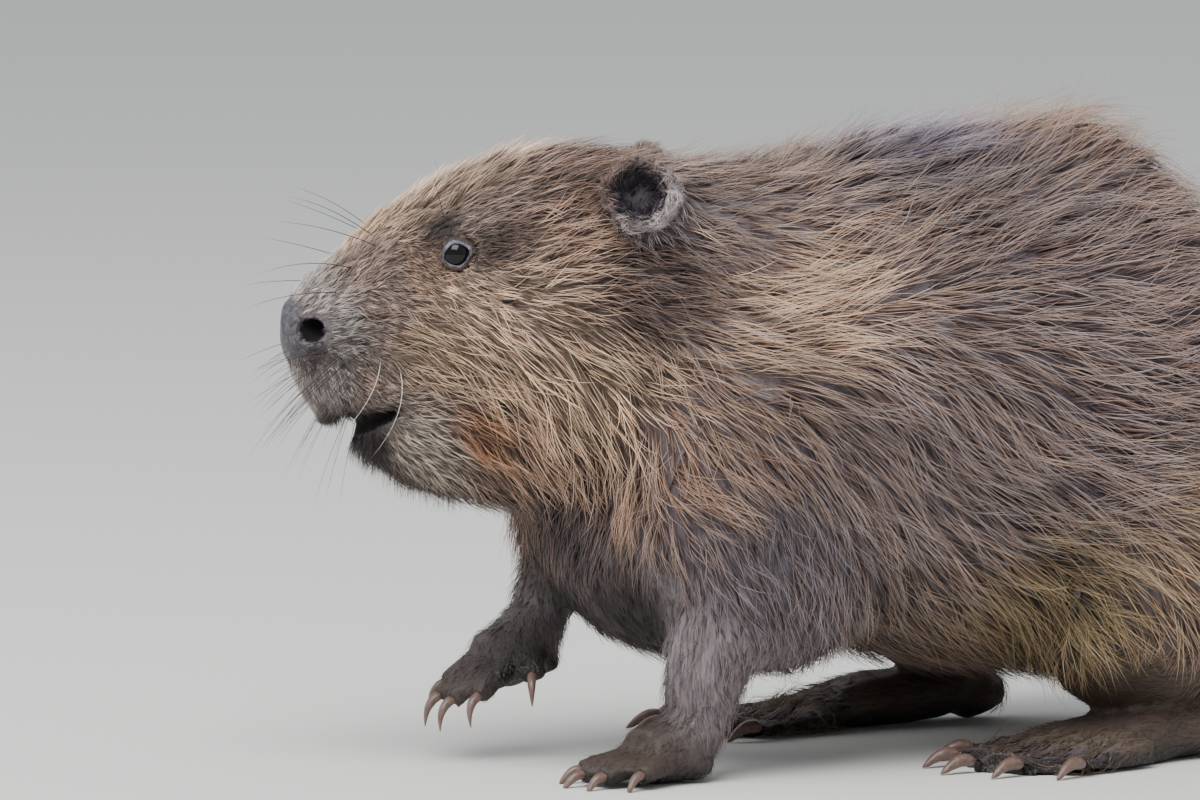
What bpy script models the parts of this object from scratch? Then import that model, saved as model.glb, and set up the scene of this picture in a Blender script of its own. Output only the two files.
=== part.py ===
"""Life-size still model of a Eurasian beaver in mid-step, looking towards its right.

Lengths are metres and +Z is up. The beaver faces -Y, so its left side is +X. Every height and width
reaches out to the tips of the coat. The body is modelled whole and then parted with thin cuts.
"""

import math

import bmesh
import bpy
import numpy as np
from mathutils import Euler, Matrix, Vector

OBJECT = "beaver"
GAP = 0.0004
SIDES = {"left": 1, "right": -1}

# The head is turned on the neck, and its sizes are measured from a point midway between the eyes and
# EYE_RISE below them.
HEAD_TURN = math.radians(30)
EYE_LINE = Vector((-0.045, -0.170, 0.215))
EYE_RADIUS = 0.0068
EYE_OUT = 0.0355
EYE_RISE = 0.0026
EAR_PLACE = Vector((0.0460, 0.0775, 0.0257))
EAR_SIZE = 0.0155
EAR_OVAL = 1.08
EAR_AXIS = (0.92, -0.30, 0.22)
EAR_OUTSIDE = ((0.45, -1.10), (0.75, -0.55), (0.93, -0.05), (1.0, 0.35), (0.97, 0.55))
EAR_INSIDE = ((0.85, 0.58), (0.74, 0.30), (0.60, -0.10), (0.35, -0.38))
EAR_SOCKET = ((0.49, -1.15), (0.79, -0.56), (0.96, -0.05), (1.03, 0.35), (0.99, 0.60))

# Sections across the head: distance behind the eyes, then the top, the bottom and the widest level,
# and half the width.
HEAD_SECTIONS = (
    (-0.0745, 0.1930, 0.1765, 0.185, 0.0130),
    (-0.0715, 0.1985, 0.1680, 0.184, 0.0205),
    (-0.0660, 0.2040, 0.1555, 0.180, 0.0250),
    (-0.0580, 0.2110, 0.1440, 0.172, 0.0285),
    (-0.0450, 0.2235, 0.1370, 0.164, 0.0325),
    (-0.0300, 0.2365, 0.1210, 0.160, 0.0375),
    (-0.0100, 0.2490, 0.1115, 0.162, 0.0450),
    (0.0180, 0.2610, 0.1065, 0.165, 0.0550),
    (0.0500, 0.2635, 0.1050, 0.165, 0.0620),
    (0.0850, 0.2590, 0.0950, 0.160, 0.0660),
)

# Sections across the trunk: place along Y, then the same four sizes.
TRUNK_SECTIONS = (
    (-0.035, 0.2605, 0.056, 0.130, 0.089),
    (-0.005, 0.2680, 0.040, 0.120, 0.100),
    (0.045, 0.2710, 0.031, 0.112, 0.109),
    (0.095, 0.2730, 0.029, 0.108, 0.113),
    (0.135, 0.2590, 0.033, 0.105, 0.108),
    (0.165, 0.2080, 0.045, 0.103, 0.088),
    (0.188, 0.1600, 0.065, 0.100, 0.055),
    (0.198, 0.1250, 0.085, 0.100, 0.020),
)

# Soft masses that the sections leave out: centre on the left side, then the three radii.
CHEST = ((0.0, -0.083, 0.108), (0.078, 0.062, 0.068))
SHOULDER = ((0.051, -0.072, 0.125), (0.043, 0.070, 0.085))
THIGH = ((0.072, 0.108, 0.092), (0.045, 0.080, 0.080))

# Limbs: points from the body to the wrist or heel, each with its radius.
LEFT_ARM = (((0.050, -0.078, 0.130), 0.042), ((0.058, -0.094, 0.084), 0.030),
            ((0.057, -0.108, 0.050), 0.0190), ((0.056, -0.113, 0.020), 0.0145))
RIGHT_ARM = (((-0.050, -0.076, 0.125), 0.044), ((-0.058, -0.089, 0.088), 0.036),
             ((-0.059, -0.106, 0.070), 0.026), ((-0.057, -0.124, 0.056), 0.0185))

# Planes and bowls that part the body.
NECK_TOP = (0.005, -0.088, 0.262)
NECK_TOP_SLANT = 0.44
NECK_BASE = (0.0, -0.040, 0.262)
NECK_BASE_SLANT = 0.62
NOSE_SLANT = 0.2
NOSE_BASE = Vector((0, -0.0665, -0.0310))
MOUTH_PATH = ((-0.0700, 0.1300), (-0.0265, 0.1490), (0.0140, 0.0940))
JAW_MIDDLE = Vector((0, -0.020, -0.095))
ROOT_PLANE = ((0, 0.186, 0.10), (0, -1, 0.35))
RUMP_PLANE = (0, 0.075, 0.15)
BELLY_PLANE = (0, -0.020, 0.15)
ALONG_BODY = (0, -1, 0)
MOUTH_REACH = 0.09
LEG_BOWLS = {
    "left_foreleg": ((0.078, -0.098, 0.070), (0.050, 0.056, 0.100)),
    "right_foreleg": ((-0.080, -0.108, 0.072), (0.050, 0.066, 0.100)),
    "left_hind_leg": ((0.098, 0.115, 0.055), (0.052, 0.078, 0.105)),
    "right_hind_leg": ((-0.098, 0.100, 0.055), (0.052, 0.078, 0.105)),
}

# Feet, in frames whose origin is the wrist or heel joint and whose toes point along -Y. Digits are
# place across, place along, heading in degrees and length.
FORE_PLAN = {
    "instep": (
        ((0, 0.010, 0.030), 0.0165),
        ((0, 0.002, 0.006), 0.0150),
        ((0, -0.012, -0.006), 0.0165),
        ((0, -0.028, -0.009), 0.0150),
    ),
    "flat": 0.80,
    "digits": (
        (0.0130, -0.014, 48, 0.014),
        (0.0105, -0.026, 16, 0.023),
        (0.0035, -0.029, 4, 0.026),
        (-0.0045, -0.028, -7, 0.025),
        (-0.0115, -0.023, -22, 0.020),
    ),
    "knuckle": -0.0110,
    "digit_radius": 0.0052,
    "claw_length": 0.0145,
    "claw_radius": 0.0026,
    "pads": (
        ((0.006, -0.006, -0.0125), (0.008, 0.010, 0.007)),
        ((-0.008, -0.007, -0.0125), (0.007, 0.010, 0.007)),
        ((0.001, -0.022, -0.0130), (0.013, 0.008, 0.006)),
    ),
}
HIND_PLAN = {
    "instep": (
        ((0, -0.004, 0.040), 0.0200),
        ((0, 0.002, 0.010), 0.0175),
        ((0, -0.010, -0.008), 0.0185),
        ((0, -0.045, -0.012), 0.0200),
        ((0, -0.085, -0.015), 0.0290),
    ),
    "flat": 0.62,
    "digits": (
        (0.0270, -0.072, 15, 0.046),
        (0.0150, -0.080, 9, 0.056),
        (0.0010, -0.084, 1, 0.060),
        (-0.0130, -0.080, -7, 0.056),
        (-0.0250, -0.070, -15, 0.048),
    ),
    "knuckle": -0.0150,
    "digit_radius": 0.0066,
    "claw_length": 0.0180,
    "claw_radius": 0.0036,
    "pads": (
        ((0, 0.006, -0.0100), (0.014, 0.016, 0.0125)),
        ((0, -0.100, -0.0175), (0.038, 0.040, 0.0035)),
    ),
}
# Digits bend at two joints, each a share of the length and a share of the width there. Claws start
# inside the digit's tip and taper, in shares of their length and radius.
DIGIT_JOINTS = ((0.4, 0.97), (0.6, 0.85))
CLAW_TAPER = ((0.0, 1.0), (0.35, 0.9), (0.7, 0.6), (1.0, 0.12))
CLAW_STEP = 0.37
CLAW_HOOK = 0.35
CLAW_SINK = 0.8
CLAW_RISE = 0.15
# Each foot: its leg, its plan, where its joint is, its heading and pitch in degrees, how far its
# digits bend down at their two joints and how far its claws droop, in radians.
FEET = {
    "left_fore": ("left_foreleg", FORE_PLAN, (0.056, -0.113, 0.020), 4, 0, (0.10, 0.22), 0.5),
    "right_fore": ("right_foreleg", FORE_PLAN, (-0.057, -0.124, 0.056), 4, 12, (0.20, 0.45), 0.4),
    "left_hind": ("left_hind_leg", HIND_PLAN, (0.080, 0.140, 0.022), 6, 0, (0.02, 0.06), 0.35),
    "right_hind": ("right_hind_leg", HIND_PLAN, (-0.080, 0.100, 0.022), -6, 0, (0.02, 0.06), 0.35),
}

# Tail: the furry root runs down to the floor and the scaly paddle lies on it.
ROOT_PATH = (((0.0, 0.150, 0.120), 0.055), ((0.0, 0.195, 0.082), 0.046),
             ((0.0, 0.235, 0.044), 0.034), ((0.0, 0.275, 0.016), 0.022))
TAIL_CUT = 0.262
TAIL_END = 0.520
TAIL_HALF_WIDTH = 0.056
TAIL_THICKNESS = 0.017
TAIL_STATIONS = (0, 0.08, 0.2, 0.4, 0.6, 0.78, 0.9, 0.97, 0.995)
TAIL_NECK = 0.42
TAIL_WIDEST = 0.45
TAIL_CLOSES = 0.55
TAIL_THINS = 0.55
TAIL_STEM = 0.012
TAIL_MIDDLE = 0.35
TAIL_ABOVE = 0.65
TAIL_BELOW = 0.42

# Colours and roughness of what the nodes are made of; all the rest is coat.
FINISHES = {
    "tail_root": ((0.110, 0.068, 0.042), 0.90),
    "claw": ((0.20, 0.12, 0.08), 0.45),
    "eye": ((0.006, 0.006, 0.008), 0.08),
    "nose": ((0.035, 0.032, 0.033), 0.60),
    "foot": ((0.045, 0.034, 0.030), 0.80),
    "tail": ((0.040, 0.036, 0.034), 0.65),
    "coat": ((0.165, 0.100, 0.058), 0.90),
}

BODY_VOXEL = 0.0045
FOOT_VOXEL = 0.0016
BODY_FACES = 1900
FOOT_FACES = 215


# Collections and materials

def clear_scene():
    for item in list(bpy.data.objects):
        bpy.data.objects.remove(item)


def new_collection(name):
    collection = bpy.data.collections.new(name)
    bpy.context.scene.collection.children.link(collection)
    return collection


def material(name, color, roughness):
    shade = bpy.data.materials.new(name)
    shade.use_nodes = True
    surface = shade.node_tree.nodes["Principled BSDF"]
    surface.inputs["Base Color"].default_value = (*color, 1.0)
    surface.inputs["Roughness"].default_value = roughness
    surface.inputs["Metallic"].default_value = 0.0
    return shade


# Mesh building

def smooth_rows(rows, steps):
    """Points of a Catmull-Rom curve through rows of numbers, steps apart between neighbours."""
    points = np.array(rows, float)
    ends = np.vstack([2 * points[0] - points[1], points, 2 * points[-1] - points[-2]])
    curve = []
    for a, b, c, d in zip(ends, ends[1:], ends[2:], ends[3:]):
        for t in np.arange(steps) / steps:
            even = 2 * b + (2 * a - 5 * b + 4 * c - d) * t ** 2
            odd = (c - a) * t + (3 * b - 3 * c + d - a) * t ** 3
            curve.append((even + odd) / 2)
    curve.append(points[-1])
    return curve


def ring(center, across, up, half_width, rise, drop, sides=24):
    """Points round an oval section whose upper and lower halves differ."""
    points = []
    for index in range(sides):
        turn = math.tau * index / sides
        height = rise if math.sin(turn) > 0 else drop
        points.append(center + across * half_width * math.cos(turn) + up * height * math.sin(turn))
    return points


def loft(name, rings):
    """Closed body through rings of equal count, capped at both ends."""
    mesh = bmesh.new()
    loops = [[mesh.verts.new(point) for point in points] for points in rings]
    for near, far in zip(loops, loops[1:]):
        for index in range(len(near)):
            after = (index + 1) % len(near)
            mesh.faces.new((near[index], near[after], far[after], far[index]))
    mesh.faces.new(reversed(loops[0]))
    mesh.faces.new(loops[-1])
    bmesh.ops.recalc_face_normals(mesh, faces=mesh.faces)
    return from_bmesh(name, mesh)


def tube(name, knots, steps=4, sides=16, flat=1.0, up=Vector((0, 0, 1))):
    """Round limb through (point, radius) knots; flat shrinks its height against its width."""
    rows = smooth_rows([(*point, radius) for point, radius in knots], steps)
    centers = [Vector(row[:3]) for row in rows]
    rings = []
    for index, center in enumerate(centers):
        ahead = centers[min(index + 1, len(rows) - 1)] - centers[max(index - 1, 0)]
        across = ahead.cross(up).normalized()
        rise = across.cross(ahead).normalized()
        radius = rows[index][3]
        rings.append(ring(center, across, rise, radius, radius * flat, radius * flat, sides))
    return loft(name, rings)


def ball(name, center, radii, segments=32):
    mesh = bmesh.new()
    bmesh.ops.create_uvsphere(mesh, u_segments=segments, v_segments=segments // 2, radius=1.0)
    bmesh.ops.scale(mesh, verts=mesh.verts, vec=radii)
    bmesh.ops.translate(mesh, verts=mesh.verts, vec=center)
    return from_bmesh(name, mesh)


def from_bmesh(name, mesh):
    data = bpy.data.meshes.new(name)
    mesh.to_mesh(data)
    mesh.free()
    item = bpy.data.objects.new(name, data)
    MODEL.objects.link(item)
    return item


def join(name, pieces):
    """One object that holds the pieces' meshes side by side."""
    mesh = bmesh.new()
    for piece in pieces:
        mesh.from_mesh(piece.data)
        bpy.data.objects.remove(piece)
    return from_bmesh(name, mesh)


def settle(item):
    """Replace an object's mesh by the one that its modifiers make."""
    shape = item.evaluated_get(bpy.context.evaluated_depsgraph_get())
    item.data = bpy.data.meshes.new_from_object(shape)
    item.modifiers.clear()


def fuse(name, pieces, voxel, rounds, faces):
    """Grow overlapping closed pieces into one soft body of about that many triangles."""
    body = join(name, pieces)
    skin = body.modifiers.new("skin", "REMESH")
    skin.mode = "VOXEL"
    skin.voxel_size = voxel
    soften = body.modifiers.new("soften", "SMOOTH")
    soften.factor = 0.5
    soften.iterations = rounds
    settle(body)
    thin = body.modifiers.new("thin", "DECIMATE")
    thin.ratio = faces / (2 * len(body.data.polygons))
    settle(body)
    return body


# Cutting

def cut(item, cutter):
    """Take a cutter's shape out of an object, and file the cutter away."""
    change = item.modifiers.new("cut", "BOOLEAN")
    change.operation = "DIFFERENCE"
    change.solver = "EXACT"
    change.object = cutter
    settle(item)
    bpy.data.objects.remove(cutter)


def half(item, name, point, normal):
    """Copy of the side of an object that the normal points to, closed by a flat face."""
    mesh = bmesh.new()
    mesh.from_mesh(item.data)
    everything = mesh.verts[:] + mesh.edges[:] + mesh.faces[:]
    result = bmesh.ops.bisect_plane(mesh, geom=everything, plane_co=point, plane_no=normal,
                                    clear_inner=True)
    rim = [part for part in result["geom_cut"] if isinstance(part, bmesh.types.BMEdge)]
    bmesh.ops.holes_fill(mesh, edges=rim)
    bmesh.ops.recalc_face_normals(mesh, faces=mesh.faces)
    return from_bmesh(name, mesh)


def part(item, point, normal, ahead_name, behind_name):
    """Divide an object by a plane into two solids that face each other across the gap."""
    normal = Vector(normal).normalized()
    shift = normal * GAP / 2
    ahead = half(item, "ahead", Vector(point) + shift, normal)
    behind = half(item, "behind", Vector(point) - shift, -normal)
    bpy.data.objects.remove(item)
    ahead.name = ahead_name
    behind.name = behind_name
    return ahead, behind


def islands(item):
    """The separate closed bodies in an object's mesh, as lists of face indices."""
    mesh = bmesh.new()
    mesh.from_mesh(item.data)
    left = set(mesh.faces)
    found = []
    while left:
        queue = [left.pop()]
        group = []
        while queue:
            face = queue.pop()
            group.append(face.index)
            for edge in face.edges:
                for other in edge.link_faces:
                    if other in left:
                        left.remove(other)
                        queue.append(other)
        found.append(group)
    mesh.free()
    return found


def pick(item, name, faces):
    """Copy of some faces of an object as an object of their own."""
    mesh = bmesh.new()
    mesh.from_mesh(item.data)
    wanted = set(faces)
    spare = [face for face in mesh.faces if face.index not in wanted]
    bmesh.ops.delete(mesh, geom=spare, context="FACES")
    return from_bmesh(name, mesh)


def shell_cutter(name, center, radii):
    """Thin closed bowl: cutting with it frees what is inside from what is outside."""
    outer = ball(name, center, [radius + GAP / 2 for radius in radii], 16)
    inner = ball(name, center, [radius - GAP / 2 for radius in radii], 16)
    mesh = bmesh.new()
    mesh.from_mesh(inner.data)
    bmesh.ops.reverse_faces(mesh, faces=mesh.faces)
    mesh.from_mesh(outer.data)
    bpy.data.objects.remove(inner)
    bpy.data.objects.remove(outer)
    return from_bmesh(name, mesh)


# Head, neck and trunk

def head_matrix():
    """Frame of the head: its origin is between the eyes and it looks along -Y."""
    return Matrix.Translation(EYE_LINE) @ Euler((0, 0, -HEAD_TURN)).to_matrix().to_4x4()


def torso_rings():
    rows = []
    for back, top, bottom, widest, half_width in HEAD_SECTIONS:
        place = head_matrix() @ Vector((0, back, 0))
        rows.append((place.x, place.y, HEAD_TURN, top, bottom, widest, half_width))
    for along, *sizes in TRUNK_SECTIONS:
        rows.append((0, along, 0, *sizes))
    up = Vector((0, 0, 1))
    rings = []
    for x, y, turn, top, bottom, widest, half_width in smooth_rows(rows, 4):
        across = Vector((math.cos(turn), -math.sin(turn), 0))
        center = Vector((x, y, widest))
        rings.append(ring(center, across, up, half_width, top - widest, widest - bottom, 32))
    return rings


def mirrored(center, side):
    return Vector((center[0] * side, center[1], center[2]))


def build_body():
    pieces = [loft("torso", torso_rings()), ball("chest", *CHEST)]
    for side in SIDES.values():
        for center, radii in (SHOULDER, THIGH):
            pieces.append(ball("mass", mirrored(center, side), radii))
    pieces.append(tube("arm", LEFT_ARM))
    pieces.append(tube("arm", RIGHT_ARM))
    pieces.append(tube("root", ROOT_PATH))
    return fuse("body", pieces, BODY_VOXEL, 10, BODY_FACES)


def facing(place, axis):
    """Frame at a place whose own Z runs along an axis."""
    return Matrix.Translation(place) @ Vector(axis).to_track_quat("Z", "Y").to_matrix().to_4x4()


def ear_frame(side):
    axis = mirrored(EAR_AXIS, side)
    return head_matrix() @ facing(mirrored(EAR_PLACE, side), axis)


def ear_rings(profile, frame):
    """Oval rings of an ear: its profile is radius then height, both in ear sizes."""
    rings = []
    for radius, height in profile:
        center = frame @ Vector((0, 0, height * EAR_SIZE))
        across = frame.to_3x3() @ Vector((1, 0, 0))
        up = frame.to_3x3() @ Vector((0, 1, 0))
        size = radius * EAR_SIZE
        rings.append(ring(center, across, up, size * EAR_OVAL, size, size, 14))
    return rings


def add_ears(body):
    for name, side in SIDES.items():
        frame = ear_frame(side)
        cut(body, loft("ear socket", ear_rings(EAR_SOCKET, frame)))
        loft(f"{name}_ear", ear_rings(EAR_OUTSIDE + EAR_INSIDE, frame))


def add_eyes(body):
    for name, side in SIDES.items():
        center = head_matrix() @ Vector((EYE_OUT * side, 0, EYE_RISE))
        cut(body, ball("eye socket", center, [EYE_RADIUS + GAP] * 3, 20))
        ball(f"{name}_eye", center, [EYE_RADIUS] * 3, 14)


# Parting the body

def strip_cutter(name, path, half_width):
    """Thin bent plate across the head, along a path of (distance behind the eyes, level)."""
    points = [np.array(point) for point in path]
    ends = [points[0]] + points + [points[-1]]
    sides = ([], [])
    for before, point, after in zip(ends, points, ends[2:]):
        run = (after - before) / np.linalg.norm(after - before)
        away = np.array((-run[1], run[0])) * GAP / 2
        sides[0].append(point + away)
        sides[1].append(point - away)
    outline = sides[0] + sides[1][::-1]
    rings = []
    for x in (-half_width, half_width):
        heights = [(back, level - EYE_LINE.z) for back, level in outline]
        rings.append([head_matrix() @ Vector((x, back, height)) for back, height in heights])
    return loft(name, rings)


def free_islands(item, markers):
    """Name each separate body of an object after the marker that is nearest to its middle."""
    shape = item.data
    found = {}
    for faces in islands(item):
        middle = Vector(np.mean([shape.polygons[face].center for face in faces], axis=0))
        name = min(markers, key=lambda key: (Vector(markers[key]) - middle).length)
        found[name] = pick(item, "island", faces)
    bpy.data.objects.remove(item)
    for name, piece in found.items():
        piece.name = name
    return found


def part_legs(body):
    for name, (center, radii) in LEG_BOWLS.items():
        cut(body, shell_cutter(name, center, radii))
    markers = {name: center for name, (center, radii) in LEG_BOWLS.items()}
    markers["torso"] = (0, 0, 0.2)
    return free_islands(body, markers)


def part_torso(torso):
    """Planes across the spine, from the tail forwards, then the cuts of the face."""
    rest, root = part(torso, *ROOT_PLANE, "rest", "tail_root")
    bpy.data.objects.remove(part(root, (0, TAIL_CUT, 0), ALONG_BODY, "tail_root", "spare")[1])
    rest = part(rest, RUMP_PLANE, ALONG_BODY, "rest", "rump")[0]
    rest = part(rest, BELLY_PLANE, ALONG_BODY, "rest", "belly")[0]
    front = Vector((-math.sin(HEAD_TURN / 2), -math.cos(HEAD_TURN / 2), NECK_BASE_SLANT))
    rest = part(rest, NECK_BASE, front, "rest", "chest")[0]
    front = Vector((-math.sin(HEAD_TURN), -math.cos(HEAD_TURN), NECK_TOP_SLANT))
    face = part(rest, NECK_TOP, front, "face", "neck")[0]
    front = Vector((-math.sin(HEAD_TURN), -math.cos(HEAD_TURN), NOSE_SLANT))
    face = part(face, head_matrix() @ NOSE_BASE, front, "nose", "face")[1]
    cut(face, strip_cutter("mouth", MOUTH_PATH, MOUTH_REACH))
    free_islands(face, {"head": EYE_LINE, "jaw": head_matrix() @ JAW_MIDDLE})


# Feet and tail

def digit_knots(base, heading, length, radius, curl):
    """A digit from its knuckle to its tip; curl is how far it bends down at each joint."""
    knots = [(base, radius)]
    point = Vector(base)
    for pitch, (share, width) in zip(curl, DIGIT_JOINTS):
        level = Vector((math.sin(heading), -math.cos(heading), 0))
        ahead = level * math.cos(pitch) - Vector((0, 0, math.sin(pitch)))
        point = point + ahead * length * share
        knots.append((tuple(point), radius * width))
    return knots, ahead


def claw_knots(tip, ahead, length, radius, droop):
    """A claw that leaves the tip of a digit and bends down by the droop."""
    flat = Vector((ahead.x, ahead.y, 0)).normalized()
    pitch = math.asin(-ahead.z)
    point = Vector(tip) - ahead * radius * CLAW_SINK + Vector((0, 0, radius * CLAW_RISE))
    knots = []
    for share, width in CLAW_TAPER:
        knots.append((tuple(point), radius * width))
        bend = pitch + droop * (share + CLAW_HOOK)
        point = point + (flat * math.cos(bend) - Vector((0, 0, math.sin(bend)))) * length * CLAW_STEP
    return knots


def build_foot(name, leg, plan, place, heading, pitch, curl, droop):
    """Foot with five digits and claws, parted from its leg and levelled off at the floor."""
    turn = Euler((math.radians(pitch), 0, math.radians(heading)))
    frame = Matrix.Translation(place) @ turn.to_matrix().to_4x4()
    side = 1 if place[0] > 0 else -1
    pieces = [tube("instep", plan["instep"], flat=plan["flat"])]
    paths = []
    for across, back, splay, length in plan["digits"]:
        base = (-across * side, back, plan["knuckle"])
        splay = -math.radians(splay) * side
        knots, ahead = digit_knots(base, splay, length, plan["digit_radius"], curl)
        pieces.append(tube("digit", knots, sides=12))
        paths.append(claw_knots(knots[-1][0], ahead, plan["claw_length"], plan["claw_radius"], droop))
    for center, radii in plan["pads"]:
        pieces.append(ball("pad", (-center[0] * side, *center[1:]), radii, 16))
    foot = fuse(f"{name}_foot", pieces, FOOT_VOXEL, 2, FOOT_FACES)
    for index, path in enumerate(paths):
        wider = [(point, radius + GAP) for point, radius in path]
        cut(foot, tube("claw socket", wider, steps=1, sides=6))
        claw = tube(f"{name}_claw_{index + 1}", path, steps=1, sides=6)
        claw.data.transform(frame)
    foot.data.transform(frame)
    ankle = frame @ Vector(plan["instep"][1][0])
    axis = frame.to_3x3() @ (Vector(plan["instep"][0][0]) - Vector(plan["instep"][1][0]))
    bpy.data.objects.remove(part(foot, ankle, axis, "spare", foot.name)[0])
    bpy.data.objects.remove(part(leg, ankle, axis, leg.name, "spare")[1])


def build_tail():
    """Flat scaly paddle that lies on the floor behind the furry root."""
    length = TAIL_END - TAIL_CUT
    rings = []
    for share in TAIL_STATIONS:
        widen = TAIL_NECK + (1 - TAIL_NECK) * math.sin(min(share / TAIL_WIDEST, 1) * math.pi / 2)
        close = math.sqrt(1 - max((share - TAIL_CLOSES) / (1 - TAIL_CLOSES), 0) ** 2)
        half_width = TAIL_HALF_WIDTH * widen * close
        rise = TAIL_THICKNESS * (1 - TAIL_THINS * share) * close ** 0.5 + TAIL_STEM * (1 - share) ** 6
        center = Vector((0, TAIL_CUT + GAP / 2 + length * share, rise * TAIL_MIDDLE))
        rings.append(ring(center, Vector((1, 0, 0)), Vector((0, 0, 1)), half_width,
                          rise * TAIL_ABOVE, rise * TAIL_BELOW, 20))
    return loft("tail", rings)


def level_off():
    """Cut every solid that reaches the floor flat at its level."""
    for item in list(MODEL.objects):
        if min(vertex.co.z for vertex in item.data.vertices) < 0:
            bpy.data.objects.remove(part(item, (0, 0, -GAP / 2), (0, 0, 1), item.name, "spare")[1])


def centre_on_floor():
    """Move the model so that the middle of its footprint is the origin."""
    points = np.array([vertex.co for item in MODEL.objects for vertex in item.data.vertices])
    middle = (points.min(axis=0) + points.max(axis=0)) / 2
    shift = Matrix.Translation((-middle[0], -middle[1], -points[:, 2].min()))
    for item in MODEL.objects:
        item.data.transform(shift)


def paint():
    """Give each node its own material, after what it is made of."""
    for item in MODEL.objects:
        kind = next((kind for kind in FINISHES if kind in item.name), "coat")
        item.data.materials.append(material(f"{item.name} surface", *FINISHES[kind]))


clear_scene()
MODEL = new_collection(OBJECT)
BODY = build_body()
add_ears(BODY)
add_eyes(BODY)
PARTS = part_legs(BODY)
part_torso(PARTS["torso"])
for foot_name, (leg_name, *foot_plan) in FEET.items():
    build_foot(foot_name, PARTS[leg_name], *foot_plan)
build_tail()
level_off()
centre_on_floor()
paint()
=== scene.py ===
"""Skin, coat, eyes, claws, scales and studio for a life-size still model of a Eurasian beaver."""

import math

import bpy
import numpy as np
from bpy.props import FloatProperty, IntProperty, PointerProperty
from mathutils import Matrix, Vector
from mathutils.bvhtree import BVHTree
from mathutils.kdtree import KDTree


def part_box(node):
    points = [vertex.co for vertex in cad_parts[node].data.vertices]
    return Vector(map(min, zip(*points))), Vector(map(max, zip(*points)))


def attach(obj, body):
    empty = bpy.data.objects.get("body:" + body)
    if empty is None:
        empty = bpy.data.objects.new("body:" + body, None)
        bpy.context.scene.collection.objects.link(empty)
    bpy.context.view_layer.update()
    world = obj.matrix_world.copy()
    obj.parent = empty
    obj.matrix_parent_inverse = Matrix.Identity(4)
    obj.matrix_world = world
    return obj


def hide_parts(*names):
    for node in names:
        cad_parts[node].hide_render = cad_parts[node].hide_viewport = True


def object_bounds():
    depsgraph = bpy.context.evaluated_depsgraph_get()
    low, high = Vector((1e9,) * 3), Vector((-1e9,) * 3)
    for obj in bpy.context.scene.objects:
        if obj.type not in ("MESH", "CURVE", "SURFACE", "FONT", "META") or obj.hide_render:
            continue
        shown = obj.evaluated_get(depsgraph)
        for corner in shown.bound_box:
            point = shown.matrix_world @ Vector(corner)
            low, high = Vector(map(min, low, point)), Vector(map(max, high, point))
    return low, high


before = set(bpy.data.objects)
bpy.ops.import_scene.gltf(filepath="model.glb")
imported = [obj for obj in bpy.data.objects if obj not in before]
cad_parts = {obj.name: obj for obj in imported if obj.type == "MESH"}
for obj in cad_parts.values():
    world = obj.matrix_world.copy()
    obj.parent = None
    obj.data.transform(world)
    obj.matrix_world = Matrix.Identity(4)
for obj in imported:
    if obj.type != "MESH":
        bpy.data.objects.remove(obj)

CAD_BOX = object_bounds()

bl_info = {
    "name": "Beaver model",
    "version": (1, 0, 0),
    "blender": (4, 5, 0),
    "location": "View3D > Sidebar > Beaver",
    "description": "Builds the skin, coat and small parts of a life-size still beaver",
    "category": "Object",
}

MM = 0.001
SIDES = {"left": 1, "right": -1}


# Places on the animal, all worked out from the frame

def middle(node):
    """Middle of a CAD node's box."""
    low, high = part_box(node)
    return (low + high) / 2


def head_frame():
    """Frame between the eyes: X to the animal's left, Y backwards along the head, Z up."""
    left, right = middle("left_eye"), middle("right_eye")
    across = (left - right).normalized()
    up = Vector((0, 0, 1))
    back = up.cross(across)
    turn = Matrix((across, back, up)).transposed().to_4x4()
    return Matrix.Translation((left + right) / 2) @ turn


HEAD = head_frame()
HEAD_TURN = np.array(HEAD.to_3x3())
HEAD_ORIGIN = np.array(HEAD.translation)
EYE_OUT = (middle("left_eye") - middle("right_eye")).length / 2
EYE_RADIUS = (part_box("left_eye")[1].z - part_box("left_eye")[0].z) / 2
BOX_LOW = np.array(CAD_BOX[0])
BOX_SIZE = np.array(CAD_BOX[1]) - BOX_LOW


def to_head(points):
    """World points in the head's frame."""
    return (points - HEAD_ORIGIN) @ HEAD_TURN


def from_head(points):
    """Points of the head's frame in the world."""
    return points @ HEAD_TURN.T + HEAD_ORIGIN


def body_point(x, y, z):
    """Point from fractions of the frame's box: -1 to 1 across, 0 to 1 backwards and up."""
    return BOX_LOW + BOX_SIZE * np.array((0.5 + x / 2, y, z))


def mirrored(place, side):
    """Place or direction given for the left side, on the side asked for."""
    return np.array((place[0] * side, *place[1:]), float)


# Colours

def linear(code):
    """Linear colour of an sRGB hex code."""
    value = np.array([int(code[index:index + 2], 16) for index in (1, 3, 5)]) / 255
    return np.where(value <= 0.04045, value / 12.92, ((value + 0.055) / 1.055) ** 2.4)


TAWNY = "#c0a08a"
SAND = "#d6b797"
CREAM = "#f0cfb4"
BROWN = "#785d50"
RUST = "#a97b5a"
DUN = "#b09a8e"
SMOKE = "#9c93a2"
FAWN = "#a4908a"
TAUPE = "#83706f"
LILAC = "#918588"
OLIVE = "#a8936c"
UMBER = "#6a564d"
BARK = "#4b3f31"
MOLE = "#5c4e4d"
ASH = "#c2b8b4"
PEARL = "#e4d4c4"
SOOT = "#44352d"
PITCH = "#2b2322"
NOSE_GREY = "#49464c"
NOSE_RIM = "#4e464b"
LID_GREY = "#6c6a76"
LID_DARK = "#2a2324"
# Painted shade, nearly black, inside the nostrils and the mouth's gap.
HOLLOW_PAINTED_SHADE = "#150f10"
TAIL_DARK = "#232021"
SOLE_DARK = "#2a2624"
# Painted shade in the hollow of the ear's cup.
EAR_CUP_PAINTED_SHADE = "#37323a"
EAR_RIM = "#d4c7c8"
EAR_STRAND = "#8b7e86"
WOOL = "#5d545e"

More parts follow.
